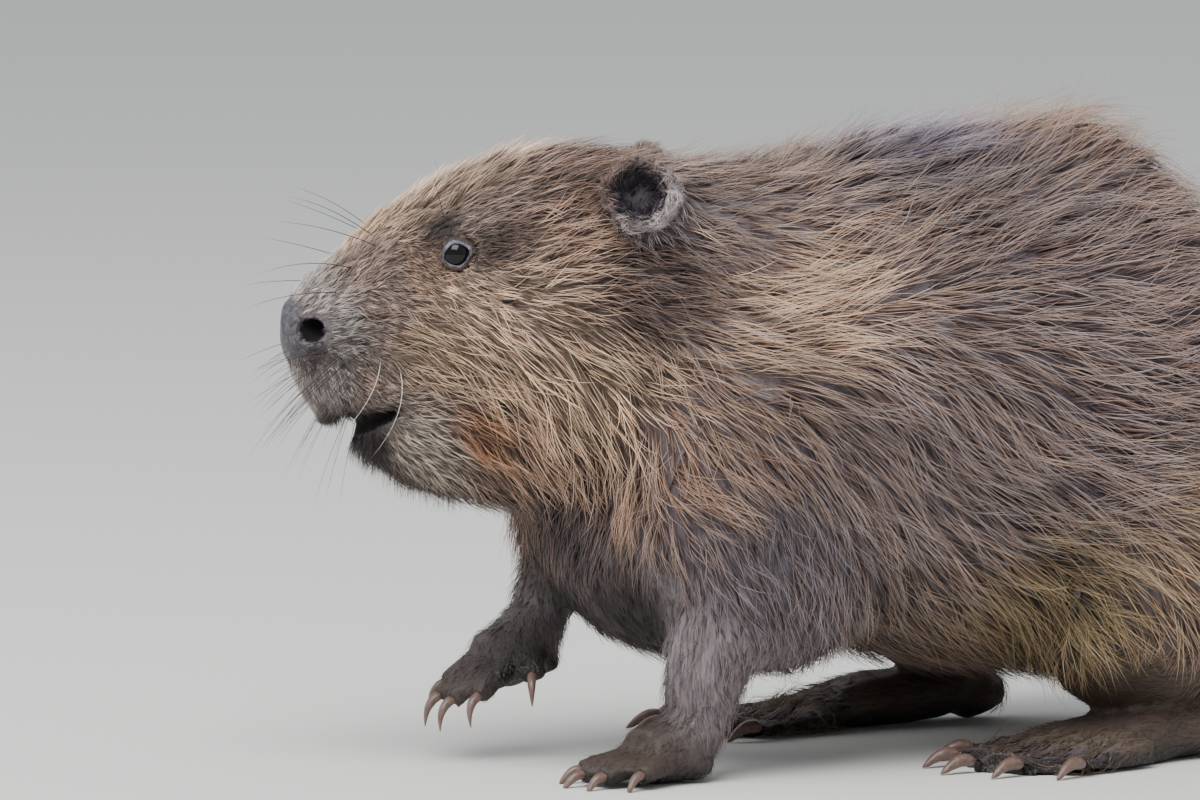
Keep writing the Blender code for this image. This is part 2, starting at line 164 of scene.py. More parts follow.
# Comb of the coat. Each row is a place and how the hair lies there: across, back and up; the lie in
# the same three directions; then length, depth and strand width in millimetres, and the tip colour.
# Head rows are metres in the head's frame, and body rows are fractions of the frame's box. Every
# row with a place across counts on both sides.
HEAD_COMB = (
    ("nose top", (0, -0.066, -0.014), (0, 0.55, 0.8), 6.0, 1.0, 0.32, ASH),
    ("over nostril", (0.022, -0.060, -0.022), (0.1, 0.8, 0.55), 6.0, 1.2, 0.32, ASH),
    ("behind nostril", (0.027, -0.050, -0.032), (0.1, 1, 0.05), 6.5, 1.3, 0.34, ASH),
    ("under nostril", (0.024, -0.058, -0.042), (0.1, 0.7, -0.7), 4.5, 0.8, 0.30, MOLE),
    ("muzzle top", (0, -0.045, 0.010), (0, 0.7, 0.75), 10.0, 1.8, 0.38, SAND),
    ("muzzle shoulder", (0.024, -0.045, -0.008), (0.1, 0.8, 0.65), 8.0, 1.6, 0.36, DUN),
    ("bridge", (0, -0.020, 0.026), (0, 0.9, 0.45), 14.0, 3.0, 0.42, CREAM),
    ("brow", (0.025, -0.005, 0.028), (0.1, 0.95, 0.35), 14.0, 3.4, 0.42, CREAM),
    ("forehead", (0, 0.015, 0.045), (0, 1, 0.35), 20.0, 4.8, 0.48, CREAM),
    ("crown", (0, 0.045, 0.050), (0, 1, 0.1), 22.0, 5.8, 0.54, BROWN),
    ("nape", (0, 0.085, 0.045), (0, 1, 0), 25.0, 7.0, 0.62, DUN),
    ("lip front", (0.012, -0.066, -0.056), (0.3, 0.15, -0.95), 4.0, 0.7, 0.30, ASH),
    ("whisker pad", (0.028, -0.052, -0.052), (0.15, 0.55, -0.8), 5.0, 1.0, 0.32, ASH),
    ("whisker pad back", (0.033, -0.036, -0.052), (0.15, 0.9, -0.5), 7.0, 1.6, 0.36, DUN),
    ("lip edge", (0.021, -0.055, -0.0725), (0.1, 0.2, -1), 8.0, 1.0, 0.34, BARK),
    ("lip edge back", (0.028, -0.042, -0.0690), (0.1, 0.35, -1), 7.0, 1.2, 0.34, BARK),
    ("lip corner", (0.030, -0.034, -0.064), (0.1, 0.95, -0.3), 4.5, 1.3, 0.34, DUN),
    ("lower lip", (0.022, -0.040, -0.080), (0.1, 0.3, -0.95), 7.0, 1.6, 0.34, PITCH),
    ("muzzle side", (0.033, -0.035, -0.025), (0.1, 1, -0.25), 9.0, 2.0, 0.40, DUN),
    ("eye front", (0.037, -0.0085, 0.0115), (0.1, 1, 0.25), 6.5, 1.5, 0.36, PITCH),
    ("eye side", (0.040, -0.014, -0.006), (0.1, 1, -0.2), 7.0, 1.8, 0.38, TAWNY),
    ("eye under", (0.042, 0.0, -0.016), (0.1, 1, -0.3), 12.0, 2.4, 0.40, CREAM),
    ("eye side back", (0.045, 0.020, -0.014), (0.1, 1, -0.3), 15.0, 3.2, 0.42, CREAM),
    ("eye behind", (0.042, 0.014, 0.004), (0, 1, -0.1), 9.0, 2.6, 0.42, UMBER),
    ("eye above", (0.036, 0.006, 0.015), (0.1, 1, 0.15), 10.0, 2.6, 0.42, DUN),
    ("cheek front", (0.042, -0.018, -0.038), (0.1, 1, -0.45), 17.0, 3.6, 0.44, SAND),
    ("cheek", (0.050, 0.010, -0.045), (0.1, 1, -0.62), 26.0, 5.4, 0.50, SAND),
    ("cheek back", (0.058, 0.045, -0.050), (0.1, 0.9, -0.75), 31.0, 7.8, 0.60, SAND),
    ("temple", (0.048, 0.040, 0.005), (0, 1, -0.3), 22.0, 5.0, 0.52, TAWNY),
    ("ear front", (0.047, 0.056, 0.024), (0, 0.9, 0.2), 12.0, 3.0, 0.46, BROWN),
    ("ear behind", (0.052, 0.095, 0.020), (0, 1, -0.2), 22.0, 7.0, 0.58, DUN),
    ("ear under", (0.052, 0.075, -0.005), (0, 1, -0.4), 22.0, 6.5, 0.55, UMBER),
    ("jaw side", (0.040, -0.012, -0.080), (0.05, 0.95, -0.45), 12.0, 3.0, 0.45, PEARL),
    ("jaw side front", (0.036, -0.022, -0.079), (0.05, 0.95, -0.45), 8.0, 2.0, 0.40, PEARL),
    ("chin", (0, -0.034, -0.090), (0, 0.55, -0.85), 13.0, 2.5, 0.42, UMBER),
    ("throat", (0, 0.0, -0.105), (0, 0.95, -0.3), 16.0, 5.0, 0.50, UMBER),
    ("jaw rust", (0.044, 0.005, -0.074), (0.05, 0.9, -0.6), 15.0, 4.5, 0.50, RUST),
    ("jowl", (0.047, 0.028, -0.082), (0.05, 0.85, -0.7), 24.0, 7.0, 0.55, TAWNY),
)
BODY_COMB = (
    ("withers", (0, 0.24, 0.97), (0, 1, 0.05), 30, 9.0, 0.75, DUN),
    ("back", (0, 0.33, 1.00), (0, 1, 0.0), 33, 11.0, 0.85, SMOKE),
    ("crest", (0, 0.42, 1.00), (0, 1, 0.65), 42, 13.0, 0.85, TAWNY),
    ("rump top", (0, 0.49, 0.93), (0, 1, 0.20), 38, 11.0, 0.90, FAWN),
    ("rump back", (0, 0.545, 0.72), (0, 0.55, -0.8), 34, 10.0, 0.90, TAUPE),
    ("rump low", (0, 0.570, 0.48), (0, 0.3, -1), 30, 9.0, 0.85, TAUPE),
    ("flank high", (0.60, 0.36, 0.78), (0.05, 1, -0.2), 33, 11.0, 0.85, FAWN),
    ("flank", (0.80, 0.38, 0.50), (0, 1, -0.4), 34, 12.0, 0.90, FAWN),
    ("flank low", (0.75, 0.36, 0.25), (0, 1, -0.5), 30, 11.0, 0.85, OLIVE),
    ("hip", (0.75, 0.47, 0.62), (0, 1, -0.1), 34, 11.0, 0.90, FAWN),
    ("thigh", (0.80, 0.46, 0.35), (0, 0.8, -0.7), 28, 8.0, 0.90, SAND),
    ("thigh back", (0.60, 0.54, 0.30), (0, 0.4, -0.9), 26, 8.0, 0.80, FAWN),
    ("neck side", (0.45, 0.21, 0.70), (0.1, 1, -0.65), 32, 10.0, 0.72, CREAM),
    ("neck low", (0.40, 0.16, 0.50), (0.1, 0.8, -0.9), 30, 10.0, 0.70, TAWNY),
    ("shoulder", (0.68, 0.25, 0.55), (0, 0.75, -0.85), 32, 10.0, 0.78, FAWN),
    ("shoulder back", (0.72, 0.30, 0.45), (0, 0.85, -0.65), 33, 11.0, 0.85, FAWN),
    ("upper arm", (0.60, 0.19, 0.34), (0, 0.35, -1), 17, 4.0, 0.80, LILAC),
    ("chest", (0, 0.13, 0.38), (0, 0.1, -1), 17, 5.0, 0.80, MOLE),
    # The inner arm and inner wrist are near black: painted shade under the chest and between the
    # forelegs.
    ("inner arm", (0.20, 0.150, 0.24), (0, 0.1, -1), 11, 2.0, 0.70, PITCH),
    ("inner wrist", (0.30, 0.135, 0.13), (0, -0.4, -0.9), 7, 1.0, 0.55, PITCH),
    ("chest low", (0, 0.20, 0.18), (0, 0.9, -0.4), 18, 6.0, 0.60, UMBER),
    ("belly", (0, 0.36, 0.10), (0, 1, -0.15), 24, 7.0, 1.00, UMBER),
    ("foreleg", (0.42, 0.165, 0.18), (0, 0.1, -1), 11, 1.6, 0.70, LILAC),
    ("forefoot", (0.42, 0.120, 0.06), (0, -0.9, -0.45), 5, 0.4, 0.50, SOOT),
    ("shank", (0.60, 0.50, 0.13), (0, 0.1, -1), 12, 2.0, 0.75, UMBER),
    ("hind foot", (0.63, 0.42, 0.07), (0, -1, -0.1), 5, 0.4, 0.55, SOOT),
    ("root top", (0, 0.60, 0.30), (0, 0.85, -0.5), 20, 5.0, 0.70, DUN),
    ("root side", (0.22, 0.60, 0.18), (0, 0.85, -0.5), 18, 5.0, 0.65, DUN),
    ("root end", (0, 0.655, 0.09), (0, 1, -0.1), 10, 1.0, 0.70, UMBER),
    ("paddle", (0, 0.80, 0.05), (0, 1, 0), 4, 0.0, 0.60, SOOT),
)


def comb_rows():
    """Places, lies, sizes and colours of the whole comb, with its mirrored rows."""
    table = []
    for rows, head in ((HEAD_COMB, True), (BODY_COMB, False)):
        for _, place, lie, *size, tint in rows:
            for side in ((1, -1) if place[0] else (1,)):
                spot, way = mirrored(place, side), mirrored(lie, side)
                table.append((from_head(spot) if head else body_point(*spot),
                              HEAD_TURN @ way if head else way,
                              np.array(size) * MM, linear(tint)))
    return tuple(np.array(values) for values in zip(*table))


COMB = comb_rows()
COMB_SHARPNESS = 2.2
COMB_BLUR = 4 * MM
COMB_BLOCK = 20000


def comb(points):
    """Lie, sizes and tip colour of the coat at some points, blended from the nearest rows."""
    places, lies, sizes, tints = COMB
    blended = []
    for start in range(0, len(points), COMB_BLOCK):
        block = points[start:start + COMB_BLOCK]
        gaps = ((block[:, None, :] - places[None]) ** 2).sum(axis=2) + COMB_BLUR ** 2
        weights = gaps ** -COMB_SHARPNESS
        weights /= weights.sum(axis=1, keepdims=True)
        blended.append(np.hstack([weights @ lies, weights @ sizes, weights @ tints]))
    table = np.vstack(blended)
    return table[:, :3], table[:, 3:6], table[:, 6:9]


# Small sums

def unit(vectors):
    """Vectors of length 1."""
    return vectors / np.maximum(np.linalg.norm(vectors, axis=-1, keepdims=True), 1e-9)


def level(ways, outs):
    """Part of each direction that lies along the skin, with length 1."""
    return unit(ways - (ways * outs).sum(axis=1, keepdims=True) * outs)


def blend(old, new, share):
    """Old value at share 0 and new value at share 1."""
    return old + (new - old) * share


def bell(gap, width):
    """1 where the gap is nothing, falling softly over the given width."""
    return np.exp(-(gap / width) ** 2)


def ripple(points, size, seed):
    """Soft pattern between about -1 and 1 whose patches are about the given size."""
    picks = np.random.default_rng(seed)
    total = np.zeros(len(points))
    for _ in range(6):
        way = unit(picks.normal(size=3)) * math.pi / size * picks.uniform(0.6, 1.5)
        total += np.sin(points @ way + picks.uniform(0, math.tau))
    return total / 2.4


def ramp(value, low, high):
    """Smooth rise from 0 at low to 1 at high."""
    share = np.clip((value - low) / (high - low), 0, 1)
    return share * share * (3 - 2 * share)


# Mesh helpers

def deselect():
    """Leave edit mode and select nothing."""
    if bpy.context.mode != "OBJECT":
        bpy.ops.object.mode_set(mode="OBJECT")
    bpy.ops.object.select_all(action="DESELECT")


def activate(item):
    """Select one object alone."""
    deselect()
    item.select_set(True)
    bpy.context.view_layer.objects.active = item


def apply_all(item):
    """Apply an object's modifiers in order."""
    activate(item)
    for change in list(item.modifiers):
        bpy.ops.object.modifier_apply(modifier=change.name)


def copy_node(node, name):
    """Merged copy of a CAD node's mesh as an object of its own."""
    source = bpy.data.objects[node]
    item = bpy.data.objects.new(name, source.data.copy())
    item.data.materials.clear()
    bpy.context.scene.collection.objects.link(item)
    activate(item)
    bpy.ops.object.mode_set(mode="EDIT")
    bpy.ops.mesh.select_all(action="SELECT")
    bpy.ops.mesh.remove_doubles(threshold=0.02 * MM)
    bpy.ops.object.mode_set(mode="OBJECT")
    return item


def join(items, name):
    """One object out of several."""
    deselect()
    for item in items:
        item.select_set(True)
    bpy.context.view_layer.objects.active = items[0]
    bpy.ops.object.join()
    items[0].name = name
    return items[0]


def positions(item):
    """Places of an object's vertices."""
    co = np.empty(len(item.data.vertices) * 3)
    item.data.vertices.foreach_get("co", co)
    return co.reshape(-1, 3)


def set_positions(item, co):
    """Move an object's vertices."""
    item.data.vertices.foreach_set("co", np.ascontiguousarray(co, dtype=np.float32).ravel())
    item.data.update()


def normals(item):
    """Outward directions at an object's vertices."""
    values = np.empty(len(item.data.vertices) * 3)
    item.data.vertices.foreach_get("normal", values)
    return values.reshape(-1, 3)


def remesh(item, voxel, rounds, swell=0.5 * MM):
    """One soft closed surface over the parted solids of an object."""
    puff = item.modifiers.new("puff", "DISPLACE")
    puff.strength = swell
    puff.mid_level = 0.0
    grid = item.modifiers.new("grid", "REMESH")
    grid.mode = "VOXEL"
    grid.voxel_size = voxel
    soften = item.modifiers.new("soften", "SMOOTH")
    soften.factor = 0.5
    soften.iterations = rounds
    apply_all(item)


def subdivide_where(item, wanted):
    """Split the faces whose vertices are all wanted into four."""
    activate(item)
    mesh = item.data
    bpy.ops.object.mode_set(mode="EDIT")
    bpy.ops.mesh.select_all(action="DESELECT")
    bpy.ops.mesh.select_mode(type="VERT")
    bpy.ops.object.mode_set(mode="OBJECT")
    mesh.vertices.foreach_set("select", wanted)
    bpy.ops.object.mode_set(mode="EDIT")
    bpy.ops.mesh.subdivide(number_cuts=1, smoothness=0.6)
    bpy.ops.object.mode_set(mode="OBJECT")


# Skin

FLESH = ("head", "jaw", "nose", "neck", "chest", "belly", "rump", "tail_root", "tail",
         "left_foreleg", "right_foreleg", "left_hind_leg", "right_hind_leg")
FEET = ("left_fore_foot", "right_fore_foot", "left_hind_foot", "right_hind_foot")
EARS = ("left_ear", "right_ear")

# Features of the face, in metres in the head's frame. Pairs are backwards and up. The gape is half
# the mouth's opening at its front and at its corner. A furrow's row is its height over the nostril,
# where it starts and ends behind it, and its depth, in millimetres.
NOSTRIL = (0.0255, -0.0607, -0.0330)
NOSTRIL_SIZE = (0.0049, 0.0044)
NOSTRIL_DEPTH = 8.0 * MM
NOSE_PAD = (-0.0770, -0.0345)
NOSE_PAD_SIZE = (0.0150, 0.0135)
WHISKER_PAD = (0.022, -0.050, -0.052)
BROW = (0.036, 0.0, 0.0135)
MOUTH_FRONT = (-0.0455, -0.0738)
MOUTH_CORNER = (-0.0270, -0.0668)
MOUTH_GAPE = (0.0053, 0.0024)
FURROWS = ((-3.0, 7.0, 27.0, 1.1), (6.0, 13.0, 27.0, 0.8), (-11.0, 8.0, 24.0, 0.7))
FURROW_SLOPE = 0.06
LID_SIZE = (0.0054, 0.0046)
LID_TILT = math.radians(18)
LID_TAPER = 0.35
OUT_OF_REACH = 99.0

# The skin is meshed in three grains: the body, the limbs and, split twice or thrice, the face.
BODY_VOXEL, LIMB_VOXEL = 3.5 * MM, 1.9 * MM
SKIN_TRIANGLES = 192000
LIMBS = {"left_fore": "left_foreleg", "right_fore": "right_foreleg",
         "left_hind": "left_hind_leg", "right_hind": "right_hind_leg"}


def lid_space(local, side):
    """How far head points are from an eye's middle, in openings of its lids, and the offsets."""
    offset = local - np.array((EYE_OUT * side, 0, 0))
    along = offset[:, 1] * math.cos(LID_TILT) + offset[:, 2] * math.sin(LID_TILT)
    over = offset[:, 2] * math.cos(LID_TILT) - offset[:, 1] * math.sin(LID_TILT)
    over = over / (1 - LID_TAPER * np.clip((along / LID_SIZE[0]) ** 2, 0, 1))
    reach = np.sqrt((along / LID_SIZE[0]) ** 2 + (over / LID_SIZE[1]) ** 2)
    far = (local[:, 0] * side < 0.010) | (np.linalg.norm(offset, axis=1) > 0.03)
    return np.where(far, OUT_OF_REACH, reach), offset


def nostril_space(local, side):
    """How far head points are from a nostril's middle, in its half sizes, and the offsets."""
    offset = local - mirrored(NOSTRIL, side)
    reach = np.sqrt((offset[:, 1] / NOSTRIL_SIZE[0]) ** 2 + (offset[:, 2] / NOSTRIL_SIZE[1]) ** 2)
    return reach, offset


def set_lids(local):
    """Lay the skin over each eyeball and leave an almond opening with a raised rim."""
    for side in SIDES.values():
        reach, _ = lid_space(local, side)
        edge = (reach > 0.88) & (reach < 1.10)
        local[edge, 1:] /= reach[edge, None]
        reach[edge] = 1.0
        offset = local - np.array((EYE_OUT * side, 0, 0))
        flat = (offset[:, 1:] ** 2).sum(axis=1)
        stands = offset[:, 0] * side
        lid = EYE_RADIUS + 0.5 * MM + 0.4 * MM * bell(reach - 1.15, 0.14)
        fill = 0.9 * MM + 0.9 * np.clip(1.5 * MM - stands, 0, 0.010)
        stands = stands + fill * np.exp(-flat / 0.0105 ** 2)
        dome = np.maximum(np.sqrt(np.clip(lid ** 2 - flat, 0, None)), stands)
        pit = np.sqrt(np.clip((EYE_RADIUS - 1.8 * MM) ** 2 - flat, 0, None))
        hold = 1 - ramp(reach, 1.30, 2.1)
        crease = -0.4 * MM * bell(reach - 1.62, 0.14)
        moved = blend(stands, np.where(reach < 1, pit, dome), hold) + crease
        local[:, 0] += np.where(reach < OUT_OF_REACH, moved - offset[:, 0] * side, 0) * side
    return local


def mouth_distance(local):
    """Gap to the opened line of the mouth, seen from the side, and the share of the way along."""
    start, end = np.array(MOUTH_FRONT), np.array(MOUTH_CORNER)
    run = end - start
    flat = local[:, 1:] - start
    share = np.clip(flat @ run / (run @ run), -0.25, 1)
    gape = np.interp(share, (0, 1), MOUTH_GAPE)
    return np.linalg.norm(flat - share[:, None] * run, axis=1) - gape, share


def lip_painted_shadow(local):
    """Painted shadow on the hair along the mouth's gap, from 0 to 1, mostly on the lower lip."""
    gap, share = mouth_distance(local)
    run = (np.array(MOUTH_CORNER) - MOUTH_FRONT) / math.dist(MOUTH_CORNER, MOUTH_FRONT)
    over = (local[:, 1:] - MOUTH_FRONT) @ np.array((-run[1], run[0]))
    front = 1 - ramp(share, 0.25, 1.0)
    upper = 0.75 * (1 - ramp(gap, 0.0010, 0.0050)) * (over > 0)
    lower = 1 - ramp(gap, 0.0015 + 0.003 * front, 0.0045 + 0.007 * front)
    lower = (0.55 + 0.4 * front) * lower * (over <= 0)
    return np.maximum(upper, lower) * (local[:, 1] < 0)


def sculpt_face(item):
    """Nostrils, cleft lip, mouth line, whisker pads, brows and lids."""
    local = to_head(positions(item))
    out = normals(item) @ HEAD_TURN
    face = local[:, 1] < 0.03

    def swell(share, height):
        nonlocal local
        local += (share * height * MM)[:, None] * out

    for side in SIDES.values():
        reach, gap = nostril_space(local, side)
        near = (np.abs(gap[:, 0]) < 0.014) & face & (local[:, 0] * side > 0.004)
        inward = np.array((-0.80 * side, 0.58, 0.15))
        local += ((1 - ramp(reach, 0.55, 1.15)) * near * NOSTRIL_DEPTH)[:, None] * inward
        wing = bell(reach - 1.45, 0.34) * near
        wing *= 0.55 + 0.45 * np.cos(np.arctan2(gap[:, 2], gap[:, 1]) - math.radians(225))
        swell(wing, 1.5)
        for drop, start, end, deep in FURROWS:
            furrow = bell(gap[:, 2] - drop * MM + FURROW_SLOPE * gap[:, 1], 1.0 * MM)
            furrow *= ramp(gap[:, 1], start * MM - 0.002, start * MM + 0.002)
            furrow *= 1 - ramp(gap[:, 1], end * MM - 0.004, end * MM + 0.002)
            swell(furrow * near, -deep)
        pad = np.linalg.norm((local - mirrored(WHISKER_PAD, side)) / (1, 1.3, 1), axis=1)
        swell(bell(pad, 0.013) * face, 1.8)
        brow = np.linalg.norm((local - mirrored(BROW, side)) / (1, 1.6, 0.7), axis=1)
        swell(bell(brow, 0.008), 1.3)
    cleft = bell(local[:, 0], 0.0016) * (local[:, 1] < -0.045)
    cleft *= ramp(-local[:, 2], 0.030, 0.048) * (1 - ramp(-local[:, 2], 0.072, 0.078))
    swell(cleft, -2.4)
    gap, _ = mouth_distance(local)
    swell((1 - ramp(gap, -0.0016, 0.0010)) * face * (local[:, 2] > -0.1), -6.5)
    swell(bell(gap - 0.0030, 0.0020) * face * (local[:, 1] < -0.02), 0.9)
    swell((1 - ramp(nose_reach(local), 0.70, 1.10)) * (local[:, 1] < -0.045), 1.4)
    set_positions(item, from_head(set_lids(local)))


def nose_reach(local):
    """Below 1 on the bare nose pad and above 1 on the fur round it."""
    front = (local[:, 1] - NOSE_PAD[0]) / NOSE_PAD_SIZE[0]
    height = (local[:, 2] - NOSE_PAD[1]) / NOSE_PAD_SIZE[1]
    edge = 0.07 * ripple(local, 0.0045, 51)
    return np.sqrt(np.clip(front, 0, None) ** 2 + height ** 2) + edge


def hollow(local):
    """Which head points are inside a nostril or between the lips."""
    inside = mouth_distance(local)[0] < 0.0002
    for side in SIDES.values():
        inside |= (nostril_space(local, side)[0] < 1.0) & (local[:, 0] * side > 0.006)
    return inside & (local[:, 1] < -0.02)


# Pads under the heel of the raised forefoot, seen from its inner side: place and half size of each,
# in the head's frame tipped by the slope.
PALM_PADS = (((0.0235, -0.1790), (0.0075, 0.0065)), ((0.0370, -0.1760), (0.0065, 0.0070)))
PALM_SLOPE, PALM_DROP = 0.087, 2.6 * MM


def palm_reach(points):
    """Below 1 on the bare pads of the raised forefoot."""
    local = to_head(points)
    side = np.stack((local[:, 1], local[:, 2] - PALM_SLOPE * local[:, 0] + PALM_DROP), 1)
    reach = np.min([np.linalg.norm((side - place) / size, axis=1) for place, size in PALM_PADS],
                   axis=0)
    foot = (points[:, 0] < 0) & (points[:, 1] < -0.06) & (points[:, 2] < 0.08)
    return np.where(foot, reach, OUT_OF_REACH)


def bare(points):
    """How bare the skin is, from 0 in the coat to 1 on nose, mouth, lids, paddle and soles."""
    local = to_head(points)
    face = local[:, 1] < 0.0
    nose = (1 - ramp(nose_reach(local), 0.85, 1.05)) * face
    mouth = (1 - ramp(mouth_distance(local)[0], -0.0006, 0.0006)) * face
    lids = np.zeros(len(points))
    for side in SIDES.values():
        rim = (1 - ramp(nostril_space(local, side)[0], 1.35, 1.60)) * face
        nose = np.maximum(nose, rim * (local[:, 0] * side > 0.006))
        lids = np.maximum(lids, 1 - ramp(lid_space(local, side)[0], 1.28, 1.40))
    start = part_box("tail")[0].y
    paddle = ramp(points[:, 1], start - 0.006, start + 0.006)
    soles = 1 - ramp(points[:, 2], 0.0035, 0.0060)
    palms = 1 - ramp(palm_reach(points), 0.92, 1.08)
    return np.maximum.reduce([nose, mouth, lids, paddle, soles, palms])


def build_skin():
    """One skin under the coat, from the solids of flesh."""
    flesh = [copy_node(node, "flesh") for node in FLESH]
    body = join(flesh + [ear_plug(side) for side in SIDES.values()], "skin")
    remesh(body, BODY_VOXEL, 7)
    points = positions(body)
    set_positions(body, points - normals(body) * comb(points)[1][:, 1:2])
    split_face(body)
    sculpt_face(body)
    parts = [build_limb(stem, leg) for stem, leg in LIMBS.items()]
    parts += [build_ear(node, side) for node, side in zip(EARS, SIDES.values())]
    for part in parts:
        weld = body.modifiers.new("weld", "BOOLEAN")
        weld.operation = "UNION"
        weld.solver = "MANIFOLD"
        weld.object = part
        apply_all(body)
        bpy.data.objects.remove(part)
    calm_seams(body)
    triangles = sum(len(polygon.vertices) - 2 for polygon in body.data.polygons)
    thin = body.modifiers.new("thin", "DECIMATE")
    thin.ratio = min(1.0, SKIN_TRIANGLES / triangles)
    apply_all(body)
    co = positions(body)
    co[:, 2] = np.maximum(co[:, 2], 0.0)
    set_positions(body, co)
    put_in_order(body)
    return body


def split_face(body):
    """Finer faces on the head, and finer still round the mouth, the nose and the eyes."""
    for detail in (False, True):
        local = to_head(positions(body))
        wanted = (local[:, 1] < 0.022) & (local[:, 2] > -0.125)
        if detail:
            wanted &= ((mouth_distance(local)[0] < 0.006) | (local[:, 1] < -0.050)
                       | near_eyes(local, 0.014))
        subdivide_where(body, wanted)
    subdivide_where(body, near_eyes(to_head(positions(body)), 0.0105))


def calm_seams(body):
    """Smooth the body, and with it the seams of the limbs, but not head, feet and tail."""
    points = positions(body)
    calm = ((on_head(points) < 0.05) & (points[:, 2] > 0.085)
            & (points[:, 1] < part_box("tail")[0].y))
    group = body.vertex_groups.new(name="calm")
    group.add(np.flatnonzero(calm).tolist(), 1.0, "REPLACE")
    soften = body.modifiers.new("soften", "SMOOTH")
    soften.factor = 0.5
    soften.iterations = 14
    soften.vertex_group = "calm"
    apply_all(body)
    body.vertex_groups.clear()


def put_in_order(item):
    """Sort the faces, which a union leaves in another order each run, so the coat is sown alike."""
    faces = []
    for polygon in item.data.polygons:
        corners = tuple(polygon.vertices)
        first = corners.index(min(corners))
        faces.append(corners[first:] + corners[:first])
    ordered = bpy.data.meshes.new(item.name)
    ordered.from_pydata(positions(item).tolist(), [], sorted(faces))
    loose, item.data = item.data, ordered
    bpy.data.meshes.remove(loose)


def near_eyes(local, reach):
    """Which head points are within reach of an eye's middle."""
    close = [np.linalg.norm(local - np.array((EYE_OUT * side, 0, 0)), axis=1) < reach
             for side in SIDES.values()]
    return close[0] | close[1]


def ear_plug(side):
    """Ball of flesh that fills the hollow of the head where an ear stands."""
    deselect()
    place = ear_turn(side) @ Vector((0, 0, -0.014))
    bpy.ops.mesh.primitive_uv_sphere_add(segments=32, ring_count=16, radius=0.0175, location=place)
    bpy.ops.object.transform_apply(location=True)
    return bpy.context.object


def build_limb(stem, leg):
    """Leg and foot in one finer skin, which stands a little proud of the body's own."""
    limb = join([copy_node(leg, "leg_copy"), copy_node(stem + "_foot", "foot_copy")],
                stem + "_limb")
    remesh(limb, LIMB_VOXEL, 3, 0.6 * MM)
    points = positions(limb)
    depth = comb(points)[1][:, 1:2]
    pads = 1.8 * MM * np.sqrt(np.clip(1 - palm_reach(points)[:, None] ** 2, 0, 1))
    inset = np.clip(depth - 0.7 * MM, 0.3 * MM, None) - pads
    set_positions(limb, points - normals(limb) * inset)
    return limb


# The ear is a cup turned from a profile of radii and heights, up its outside and down its inside,
# in sizes of the ear. It is placed and aimed in the head's frame.
EAR_SIZE = 0.0142
EAR_CENTER = (0.0462, 0.0775, 0.0245)
EAR_AXIS = (0.92, -0.30, 0.22)
EAR_PROFILE = ((0.45, -1.10), (0.75, -0.55), (0.95, -0.05), (1.03, 0.28), (1.03, 0.46),
               (0.95, 0.56), (0.84, 0.53), (0.75, 0.24), (0.60, -0.12), (0.30, -0.40),
               (0.06, -0.44))
EAR_CUTS = 4
EAR_SEGMENTS = 112
TRAGUS = np.array((0.45, -0.35))


def fine_profile(rows, cuts):
    """Rows of a smooth curve along a coarse profile, with so many steps in each part of it."""
    rows = np.array(rows)
    rows = np.vstack((2 * rows[0] - rows[1], rows, 2 * rows[-1] - rows[-2]))
    step = (np.arange(cuts) / cuts)[:, None]
    spread = np.hstack(((1 - step) ** 3, 3 * step ** 3 - 6 * step ** 2 + 4,
                        -3 * step ** 3 + 3 * step ** 2 + 3 * step + 1, step ** 3)) / 6
    curve = [spread @ rows[start:start + 4] for start in range(len(rows) - 3)]
    return np.vstack((*curve, rows[-2])).tolist()


def build_ear(node, side):
    """Round cupped ear, turned from its profile and set on the side of the head."""
    profile = fine_profile(EAR_PROFILE, EAR_CUTS)
    deselect()
    bpy.ops.mesh.primitive_circle_add(vertices=EAR_SEGMENTS,
                                      radius=profile[0][0] * EAR_SIZE * 0.992,
                                      location=(0, 0, profile[0][1] * EAR_SIZE))
    ear = bpy.context.object
    ear.name = node + "_skin"
    bpy.ops.object.transform_apply(location=True)
    bpy.ops.object.mode_set(mode="EDIT")
    bpy.ops.mesh.select_all(action="SELECT")
    bpy.ops.mesh.edge_face_add()
    bpy.ops.mesh.select_all(action="SELECT")
    for (radius, height), (wider, higher) in zip(profile, profile[1:]):
        step = (0, 0, (higher - height) * EAR_SIZE)
        bpy.ops.mesh.extrude_region_move(TRANSFORM_OT_translate={"value": step})
        grow = wider / radius
        bpy.ops.transform.resize(value=(grow, grow, 1), center_override=(0, 0, 0))
    bpy.ops.mesh.select_all(action="SELECT")
    bpy.ops.mesh.normals_make_consistent(inside=False)
    bpy.ops.object.mode_set(mode="OBJECT")
    co = positions(ear)
    co[:, 0] *= 1.08
    co += ripple(co, 0.011, 5 + side)[:, None] * np.array((0.0007, 0.0007, 0.0011))
    co[:, 2] += tragus(co / EAR_SIZE, side) * 0.0032
    turn = np.array(ear_turn(side))
    set_positions(ear, co @ turn[:3, :3].T + turn[:3, 3])
    return ear


def tragus(spots, side):
    """Low fold that stands in the lower front of an ear's cup, from 0 to 1."""
    gap = spots[:, :2] - TRAGUS * (side, 1)
    return np.exp(-(gap ** 2).sum(axis=1) / 0.06) * ramp(spots[:, 2], -0.5, -0.2)


def ear_turn(side):
    """Frame of an ear's cup, with Z out of its opening."""
    aim = Vector(mirrored(EAR_AXIS, side)).to_track_quat("Z", "Y").to_matrix().to_4x4()
    return HEAD @ Matrix.Translation(mirrored(EAR_CENTER, side)) @ aim


def ear_space(points, side):
    """Points in the frame of an ear, in sizes of the ear."""
    turn = np.array(ear_turn(side))
    return (points - turn[:3, 3]) @ turn[:3, :3] / EAR_SIZE


